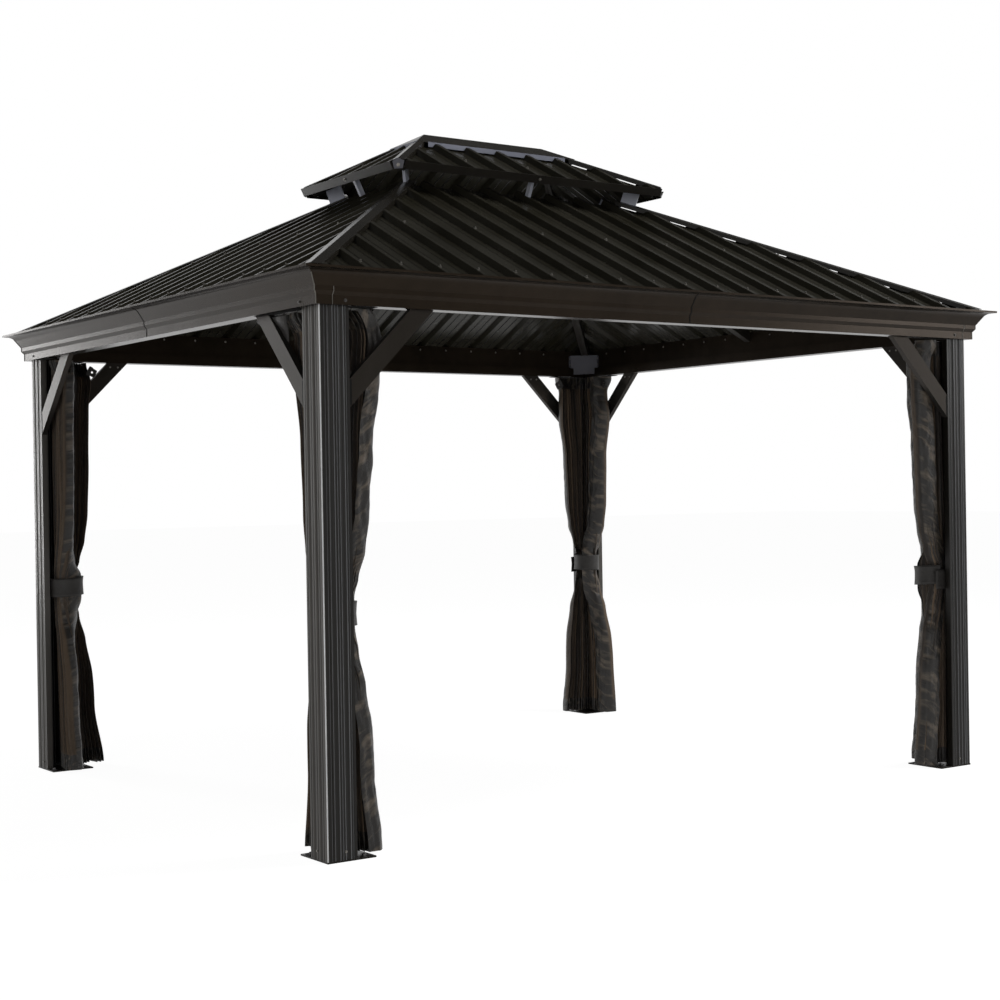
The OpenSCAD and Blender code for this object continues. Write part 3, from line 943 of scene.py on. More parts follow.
def apply_modifier(thing: bpy.types.Object, kind: str, **settings: object) -> None:
    """Adds a modifier with its settings and applies it."""
    modifier = thing.modifiers.new(kind.title(), kind)
    for key, value in settings.items():
        setattr(modifier, key, value)
    select_only(thing)
    bpy.ops.object.modifier_apply(modifier=modifier.name)


def settle(thing: bpy.types.Object) -> None:
    """Moves an object's place and turn into its mesh and turns its faces outwards."""
    select_only(thing)
    bpy.ops.object.transform_apply(location=True, rotation=True, scale=True)
    with editing(thing):
        bpy.ops.mesh.select_all(action="SELECT")
        bpy.ops.mesh.normals_make_consistent(inside=False)


def keep(thing: bpy.types.Object, name: str, material: bpy.types.Material) -> bpy.types.Object:
    """Names a finished piece, gives it its material and seats it on the body.

    Args:
        thing: Finished object.
        name: Name of the piece.
        material: Its finish.

    Returns:
        The piece.
    """
    thing.name = name
    thing.data.name = name
    thing.data.materials.clear()
    thing.data.materials.append(material)
    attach(thing, BODY)
    LOG.info("%s: %d faces", name, len(thing.data.polygons))
    return thing


def copies(blank: bpy.types.Object, places: Sequence[Matrix]) -> bpy.types.Object:
    """Copies a modelled shape to several places as one object, and drops the blank.

    Args:
        blank: Shape modelled at the origin.
        places: Where each copy goes.

    Returns:
        One object with all the copies, at the origin.
    """
    made = []
    for place in places:
        copy = blank.copy()
        copy.data = blank.data.copy()
        bpy.context.scene.collection.objects.link(copy)
        copy.matrix_world = place
        made.append(copy)
    bpy.data.objects.remove(blank)
    select_only(*made)
    bpy.ops.object.transform_apply(location=True, rotation=True, scale=True)
    if len(made) > 1:
        bpy.ops.object.join()
    settle(made[0])
    return made[0]


def stood(point: Vector, direction: Vector, spin: float = 0.0) -> Matrix:
    """Place for a shape whose up is to point along a direction.

    Args:
        point: Where its foot goes.
        direction: Where its up points.
        spin: Turn about its own up.

    Returns:
        The place.
    """
    turn = direction.normalized().to_track_quat("Z", "Y").to_matrix().to_4x4()
    return Matrix.Translation(point) @ turn @ Matrix.Rotation(spin, 4, "Z")


def added(add: Callable[..., set[str]], **settings: object) -> bpy.types.Object:
    """Adds a plain shape with one of Blender's own tools.

    Args:
        add: The tool that adds it.
        settings: Settings of the tool.

    Returns:
        The new object, selected alone.
    """
    bpy.ops.object.select_all(action="DESELECT")
    add(**settings)
    return bpy.context.active_object


def block(size: Vector, centre: Vector) -> bpy.types.Object:
    """Models a plain block of a size about a point."""
    thing = added(bpy.ops.mesh.primitive_cube_add, size=1, location=centre)
    thing.scale = size
    bpy.ops.object.transform_apply(location=True, rotation=True, scale=True)
    return thing


def grid_through(rows: Sequence[Sequence[Vector]]) -> bpy.types.Object:
    """Lays a sheet of four-sided faces through rows of points.

    Args:
        rows: Points of each row from the bottom up, as many in each.

    Returns:
        The sheet.
    """
    across, up = len(rows[0]) - 1, len(rows) - 1
    thing = added(bpy.ops.mesh.primitive_grid_add, x_subdivisions=across, y_subdivisions=up, size=1)
    for vert, spot in zip(thing.data.vertices, (spot for row in rows for spot in row)):
        vert.co = spot
    return thing


def thickened(thing: bpy.types.Object, thickness: float) -> bpy.types.Object:
    """Gives a sheet its thickness and a smooth face, and returns it."""
    apply_modifier(thing, "SOLIDIFY", thickness=thickness, offset=0.0)
    settle(thing)
    bpy.ops.object.shade_smooth()
    return thing


def screw_blank(kind: Screw) -> bpy.types.Object:
    """Models a washer-head screw at the origin, seated on the plane below it.

    Args:
        kind: Kind of screw.

    Returns:
        The screw.
    """
    washer_share, crown_share, crown_taper, upward = 0.22, 0.2, 0.75, 0.9
    washer, head, height, sides = kind.value
    thick = washer_share * height
    foot = (0, 0, thick / 2)
    thing = added(
        bpy.ops.mesh.primitive_cylinder_add, vertices=sides, radius=washer, depth=thick, location=foot
    )
    bpy.ops.object.transform_apply(location=True)
    with editing(thing):
        pick(thing, "faces", lambda face: face.normal.z > upward)
        bpy.ops.mesh.inset(thickness=washer - head)
        for share in (1 - crown_share, crown_share):
            bpy.ops.mesh.extrude_region_move(TRANSFORM_OT_translate={"value": (0, 0, share * height)})
        bpy.ops.transform.resize(value=(crown_taper, crown_taper, 1), center_override=(0, 0, height))
    return thing


def fasten(
    kind: Screw, places: Sequence[Matrix], name: str, material: bpy.types.Material
) -> None:
    """Makes a set of like screws as one piece.

    Args:
        kind: Kind of screw.
        places: Where each one stands.
        name: Name of the piece.
        material: Its finish.
    """
    keep(copies(screw_blank(kind), places), name, material)


def ribbon(left: Sequence[Vector], right: Sequence[Vector], thickness: float) -> bpy.types.Object:
    """Pulls an edge through pairs of points to make a folded strip.

    Args:
        left: Points of one edge of the strip.
        right: Points of the other edge, one for each on the left.
        thickness: Thickness of the strip.

    Returns:
        The strip.
    """
    thing = added(bpy.ops.mesh.primitive_plane_add, size=MM, location=left[0])
    bpy.ops.object.transform_apply(location=True)
    with editing(thing, "VERT"):
        starts = [left[0], right[0], left[1], right[1]]
        for index, target in enumerate(starts):
            pick(thing, "verts", lambda vert, index=index: vert.index == index)
            now = bmesh.from_edit_mesh(thing.data).verts
            now.ensure_lookup_table()
            bpy.ops.transform.translate(value=target - now[index].co)
        for a, b, last_a, last_b in zip(left[2:], right[2:], left[1:], right[1:]):
            pick(
                thing,
                "verts",
                lambda vert, p=last_a, q=last_b: min((vert.co - p).length, (vert.co - q).length) < CLOSE,
            )
            bpy.ops.mesh.extrude_region_move(TRANSFORM_OT_translate={"value": a - last_a})
            spare = (b - last_b) - (a - last_a)
            if spare.length > TINY:
                landed = last_b + a - last_a
                pick(thing, "verts", lambda vert, p=landed: (vert.co - p).length < CLOSE)
                bpy.ops.transform.translate(value=spare)
    apply_modifier(thing, "SOLIDIFY", thickness=thickness, offset=0.0)
    return thing


@dataclass
class CarriedNodes:
    """The solids of the part that show as they are, each in its own finish."""

    palette: Palette
    plates: tuple[str, ...] = ("corner_gussets", "upper_corner_caps")
    bright_plates: tuple[str, ...] = ("vent_supports",)
    caps: tuple[str, ...] = ("hip_caps", "upper_hip_caps", "ridge_cap")
    hidden_frame: tuple[str, ...] = (
        "hip_rafters",
        "mid_rafters",
        "vent_ring",
        "upper_rafters",
        "upper_ridge_bar",
    )

    def dress(self) -> None:
        """Gives every node its finish."""
        for name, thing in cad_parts.items():
            thing.data.materials.clear()
            thing.data.materials.append(self.finish_of(name))

    def finish_of(self, name: str) -> bpy.types.Material:
        """Finds the finish of a node.

        Args:
            name: Name of the node.

        Returns:
            Its material.
        """
        if name.endswith("_roof"):
            return self.palette.roof_y if "left" in name or "right" in name else self.palette.roof_x
        if name in self.plates:
            return self.palette.plate
        if name in self.bright_plates:
            return self.palette.zinc
        if name in self.caps:
            return self.palette.cap
        if name in self.hidden_frame:
            return self.palette.inside
        if name.startswith("post_"):
            return self.palette.post
        if name.startswith("knee_braces"):
            return self.palette.brace
        if "beam" in name or name == "cornice_corners":
            return self.palette.cornice
        return self.palette.frame


@dataclass
class CorniceSeams:
    """Joint strips of the cornice, pale corner seams and corner lines painted as highlights, and the screws
    beside its corners.
    """

    palette: Palette
    width: float = 0.005
    proud: float = 0.0012
    screw_place: float = 0.12
    # The face of the cornice, out from the band and up from its foot, as far as its hollow.
    section: tuple[tuple[float, float], ...] = (
        (0.0, 0.0),
        (0.0, 0.033),
        (0.011, 0.047),
        (0.011, 0.064),
        (0.034, 0.0995),
    )
    # Middle of the hollow's arc in the same terms, and its radius.
    hollow: tuple[float, float, float] = (0.07009, 0.07612, 0.043)
    hollow_steps: int = 7
    seam_points: int = 4
    arris_points: int = 6

    def profile(self) -> list[tuple[float, float]]:
        """Outline of the cornice's face, out from the band and up from its foot.

        Returns:
            Points from the foot of the band to the lip.
        """
        x, z, r = self.hollow
        start = math.atan2(self.section[-1][1] - z, self.section[-1][0] - x)
        arc = []
        for step in range(1, self.hollow_steps + 1):
            angle = start + (math.pi / 2 - start) * step / self.hollow_steps
            arc.append((x + r * math.cos(angle), z + r * math.sin(angle)))
        return [*self.section, *arc]

    def strip(self, route: Sequence[Vector], half: Vector) -> bpy.types.Object:
        """Bends a thin strip along a route over the cornice's face.

        Args:
            route: Points of the strip's middle line.
            half: From its middle line to one edge.

        Returns:
            The strip.
        """
        return ribbon([p - half for p in route], [p + half for p in route], 2 * self.proud)

    def build(self) -> None:
        """Makes the strips, the painted-highlight seams and corner lines, and the screws."""
        face = [Vector((0, -out, up)) for out, up in self.profile()]
        half = Vector((self.width / 2, 0, 0))
        middles, ends, screws = [], [], []
        for side in Side:
            band, length = SIZES.band(side.is_end), SIZES.band(not side.is_end)
            middles.append(side.turn @ Matrix.Translation((0.0, -band, SIZES.beam_height)))
            for way in (-1, 1):
                joint = way * (length - SIZES.corner_arm)
                if not side.is_end:
                    ends.append(side.turn @ Matrix.Translation((joint, -band, SIZES.beam_height)))
                along = way * (length - self.screw_place)
                foot = side.turn @ Vector((along, -band, SIZES.beam_height + SIZES.band_height / 2))
                screws.append(stood(foot, side.turn.to_3x3() @ Vector((0, -1, 0))))
        keep(copies(self.strip(face, half), middles), "cornice_joint_strips", self.palette.seal_and_shadow)
        # The corner seams are pale strips: painted highlights.
        seam = self.strip(face[: self.seam_points], half / 2)
        keep(copies(seam, ends), "cornice_corner_seams", self.palette.seam)
        self.arrises()
        fasten(Screw.CORNICE, screws, "cornice_screws", self.palette.painted)

    def arrises(self) -> None:
        """Makes the pale line down each corner of the cornice, a painted highlight."""
        across = Vector((self.width / 4, -self.width / 4, 0))
        corner = Vector((-SIZES.band_x, -SIZES.band_y, SIZES.beam_height))
        route = [corner + Vector((-out, -out, up)) for out, up in self.profile()[: self.arris_points]]
        places = [mark.matrix for mark in Corner]
        line = copies(self.strip(route, across), places)
        keep(line, "cornice_corner_arrises", self.palette.seam)


@dataclass
class RoofScrews:
    """Washer-head screws that hold the sheets down along the ribs."""

    palette: Palette
    main_rows: tuple[tuple[float, int], ...] = ((0.105, 1), (0.62, 2))
    upper_rows: tuple[tuple[float, int], ...] = ((0.09, 2),)
    hip_room: float = 0.08

    def places(self, slope: Slope, rows: Sequence[tuple[float, int]]) -> list[Matrix]:
        """Finds where a slope's screws stand.

        Args:
            slope: Slope that they hold.
            rows: Run of each row from the eave, and how many ribs there are to a screw.

        Returns:
            Their places on the rib tops.
        """
        found = []
        for run, every in rows:
            for along in slope.ribs():
                wanted = round(along / SIZES.rib_pitch) % every == 0
                if wanted and abs(along) < slope.reach(run) - self.hip_room:
                    found.append(stood(slope.at(along, run, slope.rib_lift), slope.normal))
        return found

    def build(self) -> None:
        """Makes the screws of both tiers."""
        tiers = (("main", Slope.main, self.main_rows), ("upper", Slope.upper, self.upper_rows))
        for tier, make, rows in tiers:
            found = [place for side in Side for place in self.places(make(side), rows)]
            fasten(Screw.ROOF, found, f"{tier}_roof_screws", self.palette.screw)


@dataclass
class CapFlanges:
    """Edges of the folded caps, turned down towards the pans and notched over the ribs."""

    palette: Palette
    metal: float = 0.0016
    clear: float = 0.0008
    stop: float = 0.008
    end_lip: float = 0.007
    main_low: float = 0.08
    upper_low: float = 0.05
    vent_gap: float = 0.012
    ridge_short: float = 0.06

    def stations(
        self,
        slope: Slope,
        start: float,
        finish: float,
        line: Callable[[float], float],
        drop: float = math.inf,
    ) -> tuple[list[Vector], list[Vector]]:
        """Follows a cap's edge across the ribs.

        Args:
            slope: Slope under the cap's wing.
            start: First place along the eave.
            finish: Last place along the eave.
            line: Run from the eave at each place along it.
            drop: Most that the flange hangs down.

        Returns:
            Points of the flange's upper and lower edges.
        """
        stop = max(self.stop, slope.rib_lift + SIZES.cap_metal - drop)
        foot, top = SIZES.rib_foot / 2, SIZES.rib_top / 2
        marks = {start: self.height(slope, start), finish: self.height(slope, finish)}
        for rib in slope.ribs():
            for off in (-foot, -top, top, foot):
                if start < rib + off < finish:
                    marks[rib + off] = slope.rib_lift if abs(off) < foot - CLOSE else 0.0
        upper, lower = [], []
        for along in sorted(marks):
            run = line(along)
            upper.append(slope.at(along, run, slope.rib_lift + SIZES.cap_metal))
            lower.append(slope.at(along, run, max(stop, marks[along] + self.clear)))
        return upper, lower

    def height(self, slope: Slope, along: float) -> float:
        """Height of the sheet's top over its pans at a place along the eave."""
        foot, top = SIZES.rib_foot / 2, SIZES.rib_top / 2
        off = min(abs(along - rib) for rib in slope.ribs())
        return slope.rib_lift * min(1.0, max(0.0, (foot - off) / (foot - top)))

    def hip_wing(self, slope: Slope, wing: float, low: float, high: float) -> bpy.types.Object:
        """Makes the flange of a hip cap's wing on the left half of a slope.

        Args:
            slope: Slope under the wing.
            wing: Width of the wing.
            low: Run of the flange's lower end from the eave.
            high: Run of its upper end.

        Returns:
            The flange.
        """
        turn = slope.hip_run
        shift = wing * math.hypot(1, turn)
        start = -slope.reach(low) + shift
        finish = -slope.reach(high) + shift

        def line(along: float) -> float:
            """Run from the eave on the wing's edge."""
            return (slope.half_length + along - shift) / turn

        # Seen from outside, the end wings show only a short lip over the ribs.
        drop = self.end_lip if slope.side.is_end else math.inf
        upper, lower = self.stations(slope, start, finish, line, drop)
        return ribbon(upper, lower, self.metal)

    def build(self) -> None:
        """Makes the flanges of all the caps."""
        vent, ridge = SIZES.main_run - self.vent_gap, SIZES.upper_w - SIZES.ridge_wing
        self.hip_flanges("main", Slope.main, SIZES.cap_wing, self.main_low, vent)
        self.hip_flanges("upper", Slope.upper, SIZES.upper_cap_wing, self.upper_low, ridge)
        self.ridge_flanges()

    def hip_flanges(
        self, tier: str, make: Callable[[Side], Slope], wing: float, low: float, high: float
    ) -> None:
        """Makes the flanges of one tier's four hip caps.

        Args:
            tier: Name of the tier.
            make: Gives the slope on a side.
            wing: Width of a cap's wing.
            low: Run of the lower end from the front eave.
            high: Run of the upper end.
        """
        turn = SIZES.hip_turn
        front = self.hip_wing(make(Side.FRONT), wing, low, high)
        # The left half of the left end is at the back, and its mirrors reach the other corners.
        end = self.hip_wing(make(Side.LEFT), wing, low / turn, high / turn)
        places = [corner.matrix for corner in Corner]
        whole = [copies(blank, places) for blank in (front, end)]
        select_only(*whole)
        bpy.ops.object.join()
        keep(whole[0], f"{tier}_hip_cap_flanges", self.palette.cap)

    def ridge_flanges(self) -> None:
        """Makes the turned-down edges of the ridge cap."""
        lift = Vector((0, 0, SIZES.cap_metal))
        turn = SIZES.hip_turn
        strips = []
        for side in Side:
            slope = Slope.upper(side)
            length = SIZES.ridge_half + SIZES.ridge_wing / turn - self.ridge_short
            reach = SIZES.ridge_wing if side.is_end else length
            run = (SIZES.upper_w - SIZES.ridge_wing) / (turn if side.is_end else 1)
            upper, lower = self.stations(slope, -reach, reach, lambda along, run=run: run)
            strips.append(ribbon([p + lift for p in upper], lower, self.metal))
        select_only(*strips)
        bpy.ops.object.join()
        settle(strips[0])
        keep(strips[0], "ridge_cap_flanges", self.palette.strip)


@dataclass
class CornerFittings:
    """Small fittings of the corners: gusset flanges, black strips painting the shadow gap at each brace's
    end, frame and rail screws, anchors.
    """

    palette: Palette
    tab: float = 0.012
    tab_metal: float = 0.003
    tab_low: float = 0.056
    tab_high: float = 0.122
    tab_gap: float = 0.007
    tab_bevel: float = 0.004
    tab_screw: float = 0.013
    tab_screws: tuple[float, ...] = (0.072, 0.106)
    # The black strips at the brace ends are painted shadow gaps.
    shadow_strip: float = 0.009
    shadow_strip_proud: float = 0.0005
    shadow_strip_bevel: float = 0.0004
    brace_screws: tuple[float, ...] = (0.05, 0.09)
    brace_screw_drop: float = 0.02
    post_screw: tuple[float, float] = (0.075, 0.036)
    rail_height: float = 0.128
    rail_end: float = 0.3
    anchor_holes: tuple[tuple[float, float], ...] = ((0.16, 0.02), (0.02, 0.16))
    bolt_turn: float = 0.3

    @property
    def wall(self) -> float:
        """Depth of the beams' inner faces behind the posts' outer faces."""
        return SIZES.beam_depth - SIZES.post_setback

    @property
    def gusset_end(self) -> float:
        """Where the gusset's edge meets a beam, from the post's outer face."""
        return self.wall + SIZES.gusset_width / math.sqrt(2)

    def base(self, x: float, y: float, z: float) -> Vector:
        """Front-left point, from the post's outer corner and the ground."""
        return Vector((x - SIZES.post_x, y - SIZES.post_y, z))

    def both_legs(self, height: float, seat: Vector) -> list[Matrix]:
        """Lists a place on the front leg of the front-left post and its likes on all the legs.

        Args:
            height: Height above the ground.
            seat: Place from the post's outer corner, at that height.

        Returns:
            Two places for each corner.
        """
        origin = Matrix.Translation(self.base(0, 0, height))
        moved = Matrix.Translation(seat)
        turns = (Matrix.Identity(4), X_FOR_Y)
        return [corner.matrix @ origin @ turn @ moved for corner in Corner for turn in turns]

    def build(self) -> None:
        """Makes all the fittings of the four corners."""
        self.gusset_tabs()
        self.brace_shadow_strips()
        self.small_screws()
        self.rail_screws()
        self.anchors()

    def gusset_tabs(self) -> None:
        """Makes the two folded side flanges of each gusset, with their outer corners cut."""
        size = Vector((self.tab, self.tab_metal, self.tab_high - self.tab_low))
        thing = block(size, Vector((self.tab / 2, self.tab_metal / 2, 0)))
        with editing(thing, "EDGE"):
            pick(
                thing,
                "edges",
                lambda edge: min(v.co.x for v in edge.verts) > self.tab - CLOSE
                and abs(edge.verts[0].co.z - edge.verts[1].co.z) < CLOSE,
            )
            bpy.ops.mesh.bevel(offset=self.tab_bevel, segments=2, affect="EDGES")
        middle = SIZES.beam_height + (self.tab_low + self.tab_high) / 2
        places = self.both_legs(middle, Vector((self.gusset_end + self.tab_gap, self.wall, 0)))
        keep(copies(thing, places), "gusset_side_flanges", self.palette.plate)

    def brace_shadow_strips(self) -> None:
        """Makes the thin black strip between each brace and its post, a painted shadow gap."""
        tall = SIZES.brace_width * math.sqrt(2) - self.shadow_strip
        size = Vector((self.shadow_strip, SIZES.brace_thickness + 2 * self.shadow_strip_proud, tall))
        thing = block(size, size / 2)
        with editing(thing, "EDGE"):
            bpy.ops.mesh.select_all(action="SELECT")
            bpy.ops.mesh.bevel(offset=self.shadow_strip_bevel, segments=1, affect="EDGES")
        low = SIZES.beam_height - SIZES.brace_reach + self.shadow_strip
        places = self.both_legs(low, Vector((SIZES.leg_width, SIZES.brace_setback - self.shadow_strip_proud, 0)))
        keep(copies(thing, places), "brace_end_shadow_strips", self.palette.seal_and_shadow)

    def small_screws(self) -> None:
        """Makes the screws of gussets, braces and posts."""
        inwards, outwards = Vector((0, 1, 0)), Vector((0, -1, 0))
        spots: list[tuple[Vector, Vector]] = []
        for high in self.tab_screws:
            x, y = self.gusset_end + self.tab_screw, self.wall + self.tab_metal
            spots.append((self.base(x, y, SIZES.beam_height + high), inwards))
        brace_end = SIZES.leg_width + SIZES.brace_reach
        for back in self.brace_screws:
            x, y = brace_end - back, SIZES.brace_setback + SIZES.brace_thickness
            spots.append((self.base(x, y, SIZES.beam_height - self.brace_screw_drop), inwards))
        spots.append((self.base(self.post_screw[0], 0.0, self.post_screw[1]), outwards))
        screws = []
        for corner in Corner:
            for point, way in spots:
                screws.append(stood(corner.mirror(point), corner.mirror(way)))
                local = point - self.base(0, 0, 0)
                turned = self.base(local.y, local.x, local.z)
                screws.append(stood(corner.mirror(turned), corner.mirror(Vector((way.y, way.x, 0)))))
        fasten(Screw.FRAME, screws, "frame_screws", self.palette.screw)

    def rail_screws(self) -> None:
        """Makes the row of small screws along the inside of each beam, under the sheets."""
        places = []
        for side in Side:
            slope = Slope.main(side)
            inner = SIZES.band(side.is_end) - SIZES.beam_depth
            for along in slope.ribs():
                if abs(along) < slope.reach(self.rail_end):
                    foot = side.turn @ Vector((along, -inner, SIZES.beam_height + self.rail_height))
                    places.append(stood(foot, side.turn.to_3x3() @ Vector((0, 1, 0))))
        fasten(Screw.RAIL, places, "rail_screws", self.palette.screw)

    def anchors(self) -> None:
        """Makes a washer and bolt head at each anchor hole of the foot plates."""
        places = []
        for corner in Corner:
            for x, y in self.anchor_holes:
                foot = corner.mirror(self.base(x, y, SIZES.foot_plate))
                places.append(stood(foot, UP, self.bolt_turn))
        fasten(Screw.ANCHOR, places, "anchor_bolts", self.palette.bolt)


@dataclass
class UpperEave:
    """Screws on the trims and corner plates of the upper eave."""

    palette: Palette
    trim_metal: float = 0.003
    sheet: float = 0.004
    plate_screw: float = 0.005

    def build(self) -> None:
        """Makes the screws."""
        places = []
        for side in Side:
            slope = Slope.upper(side)
            way = side.turn.to_3x3() @ Vector((0, -math.cos(slope.pitch), -math.sin(slope.pitch)))
            out = self.trim_metal + self.sheet * slope.rise
            drop = SIZES.trim_above - SIZES.trim_height / 2
            foot = slope.at(0.0, 0.0) + way * out + slope.normal * drop
            places.append(stood(foot, way))
        cut = SIZES.eave_cut / 2
        plate = Vector((-SIZES.upper_l + cut, -SIZES.upper_w + cut, 0))
        way = Vector((-1, -1, 0)).normalized()
        foot = plate + way * self.trim_metal + UP * (SIZES.upper_edge + self.plate_screw)
        places += [stood(corner.mirror(foot), corner.mirror(way)) for corner in Corner]
        fasten(Screw.EAVE, places, "upper_eave_screws", self.palette.screw)


@dataclass(frozen=True)
class Hang:
    """How far one end of a gathered curtain reaches along its beam, from the post's outer face."""

    head: float = 0.262
    collar: float = 0.263
    shoulder: float = 0.264
    middle: float = 0.243
    chest: float = 0.234
    waist: float = 0.205
    low: float = 0.238
    hem: float = 0.268

    @property
    def marks(self) -> tuple[tuple[float, float], ...]:
        """Heights above the ground and the reach at each."""
        lower = ((0.0, self.hem), (0.3, self.low), (0.88, self.waist))
        upper = ((1.74, self.shoulder), (1.87, self.collar), (2.0, self.head))
        return (*lower, (1.23, self.chest), (1.5, self.middle), *upper)


@dataclass(frozen=True)
class Pleating:
    """How the net's folds lie across the bundle: shares of its depth, and lengths in metres."""

    count: int = 24
    steps: int = 10
    fold: float = 0.6
    fold_change: float = 0.2
    broad: float = 0.24
    broad_folds: float = 3.2
    drift: float = 0.004
    end_start: float = 0.7
    deepest: float = 0.98
    loose_depth: float = 0.042
    tied_depth: float = 0.071
    tied_round: float = 0.94


@dataclass(frozen=True)
class Tie:
    """Band of doubled tape round the bundle, and its loose end that stands off a little."""

    height: float = 0.88
    length: float = 0.48
    width: float = 0.088
    place: float = 0.115
    across: float = 0.07
    inwards: float = 0.076
    wraps: float = 1.06
    columns: int = 64
    rows: int = 8
    pucker: float = 0.0016
    flare: float = 0.003
    lap: float = 0.004
    loose_start: float = 0.93
    loose_off: float = 0.016
    sway: float = 0.006
    slope: float = 0.02
    thickness: float = 0.0014


@dataclass(frozen=True)
class EyeletFlap:
    """Pointed flap of doubled tape with an eyelet; seats say how far out, in and down it sits."""

    sides: int = 16
    hole: float = 0.006
    ring: float = 1.8
    outline: float = 1.5
    square: float = 1.32
    tip: float = 1.25
    root: float = 1.5
    curl: float = 0.004
    curl_rate: float = 80.0
    thickness: float = 0.0016
    eyelet_inside: float = 0.9
    eyelet_outside: float = 1.5
    eyelet_height: float = 0.003
    tilt: float = -0.5
    sewn_seat: tuple[float, float, float] = (0.018, 0.01, 0.05)
    hooked_seat: tuple[float, float, float] = (0.036, -0.068, 0.012)


@dataclass(frozen=True)
class PulledCorner:
    """Corner of a border that is pulled out along the beam to a hook."""

    steps: int = 16
    root_depth: float = 0.175
    tip_depth: float = 0.016
    inset: float = -0.072
    spread: float = 0.03
    ripple: float = 0.009
    start: float = -0.012
    beyond: float = 0.05
    under_top: float = 0.002
    sag: float = 0.006
    thickness: float = 0.0014


@dataclass(frozen=True)
class HeadingTape:
    """Dark tape along the underside of a beam, from the post to the end of the heading."""

    under_beam: float = 0.002
    edge: float = 0.003
    steps: int = 6
    ripple: float = 0.001
    thickness: float = 0.0016


@dataclass
class Curtain:
    """Net curtain hung round one post's corner, with satin borders, a tie band and two eyelet flaps."""

    palette: Palette
    corner: Corner
    net: bpy.types.Material
    flat: tuple[float, float] = (3.05, 1.95)
    top: float = 1.974
    bottom: float = 0.012
    lean: float = 0.034
    line: float = 0.083
    bend: float = 0.05
    lean_from: float = 1.88
    lean_to: float = 1.96
    lean_clear: float = 0.15
    lean_blend: float = 0.05
    tie_half: float = 0.058
    tape: float = 0.075
    tape_steps: int = 12
    tape_lap: float = 0.34
    tape_curl: float = 0.6
    crinkle_coarse: float = 0.006
    crinkle_fine: float = 0.0025
    crinkle_pressed: float = 0.8
    hem_lift: float = 0.012
    scallop: float = 0.01
    rows: int = 150
    pleating: Pleating = Pleating()
    tie: Tie = Tie()
    eyelet_flap: EyeletFlap = EyeletFlap()
    pulled_corner: PulledCorner = PulledCorner()
    heading: HeadingTape = HeadingTape()
    beam_end: Hang = Hang()
    side_end: Hang = Hang()
    pulled: float = 0.0
    tail: float = -0.5
    seed: float = 0.0

    def drawn(self, z: float) -> float:
        """How far the tie has drawn the cloth together at a height, from 0 to 1."""
        marks = ((0.0, 0.0), (0.45, 0.0), (0.62, 0.2), (0.74, 0.6), (0.83, 1.0), (0.93, 1.0))
        return self.between(z, (*marks, (1.0, 0.5), (1.1, 0.15), (1.25, 0.0)))

    def between(self, z: float, marks: Sequence[tuple[float, float]]) -> float:
        """Reads a smooth line through marks.

        Args:
            z: Height above the ground.
            marks: Heights and values, from the bottom up.

        Returns:
            The value at that height.
        """
        for (z0, a), (z1, b) in zip(marks, marks[1:]):
            if z <= z1:
                t = max(0.0, (z - z0) / (z1 - z0))
                return a + (b - a) * t * t * (3 - 2 * t)
        return marks[-1][1]

    def wave(self, a: float, b: float, c: float = 0.0) -> float:
        """Smooth unevenness of this curtain, from -1 to 1."""
        return noise.noise(Vector((a + self.seed, b - 2 * self.seed, c)))

    def middle(self, part: float, z: float) -> tuple[Vector, Vector]:
        """Follows the middle of the bundle from its front or back end to its side end.

        Args:
            part: Share of the way, from 0 to 1.
            z: Height above the ground.

        Returns:
            Place from the post's outer faces, and the way in from there.
        """
        root = math.sqrt(0.5)
        centre = self.line + self.bend
        first = self.between(z, self.beam_end.marks) - centre
        last = self.between(z, self.side_end.marks) - centre
        arc = self.bend * math.pi / 2
        run = part * (first + arc + last)
        turn = min(max(run - first, 0.0), arc) / self.bend
        x = centre - self.bend * math.sin(turn) + max(first - run, 0.0)
        y = centre - self.bend * math.cos(turn) + max(run - first - arc, 0.0)
        across = self.tie_half * (1 - 2 * part) * root
        tied = Vector((self.tie.place + across, self.tie.place - across))
        inwards = Vector((math.sin(turn), math.cos(turn)))
        share = self.drawn(z)
        way = inwards.lerp(Vector((root, root)), share).normalized()
        return Vector((x, y)).lerp(tied, share), way

    def rim(self, part: float, z: float) -> float:
        """Depth of the bundle on either side of its middle line."""
        pleating, share = self.pleating, self.drawn(z)
        round_off = math.sqrt(max(0.0, 1 - (pleating.tied_round * (1 - 2 * part)) ** 2))
        return pleating.loose_depth * (1 - share) + pleating.tied_depth * round_off * share

    def section(self, z: float) -> list[tuple[Vector, float]]:
        """Line of the cloth through the bundle at a height.

        Args:
            z: Height above the ground.

        Returns:
            Places from the post's outer faces, each with its place across the flat cloth.
        """
        line = []
        start, way = self.middle(0.0, z)
        along = Vector((way.y, -way.x))
        # One tape lies on the outer face of its end, and the far one on the inner face.
        for step in range(self.tape_steps):
            t = step / self.tape_steps
            part = self.tape_lap * (1 - t) * self.drawn(z)
            off = self.rim(part, z) * (1 - self.tape_curl * t**5) + self.crinkle(t, z, 5.0)
            lean = self.leaned(start, z)
            line.append((start - along * (self.tape * (1 - t)) - way * (off + lean), t * self.tape))
        line += self.folds(z)
        finish, way = self.middle(1.0, z)
        along = Vector((way.y, -way.x))
        for step in range(1, self.tape_steps + 1):
            t = step / self.tape_steps
            part = 1 - self.tape_lap * t * self.drawn(z)
            off = self.rim(part, z) * (1 - self.tape_curl * (1 - t) ** 5) + self.crinkle(t, z, 8.0)
            flat = self.flat[0] - self.tape * (1 - t)
            line.append((finish + along * (self.tape * t) + way * off, flat))
        return line

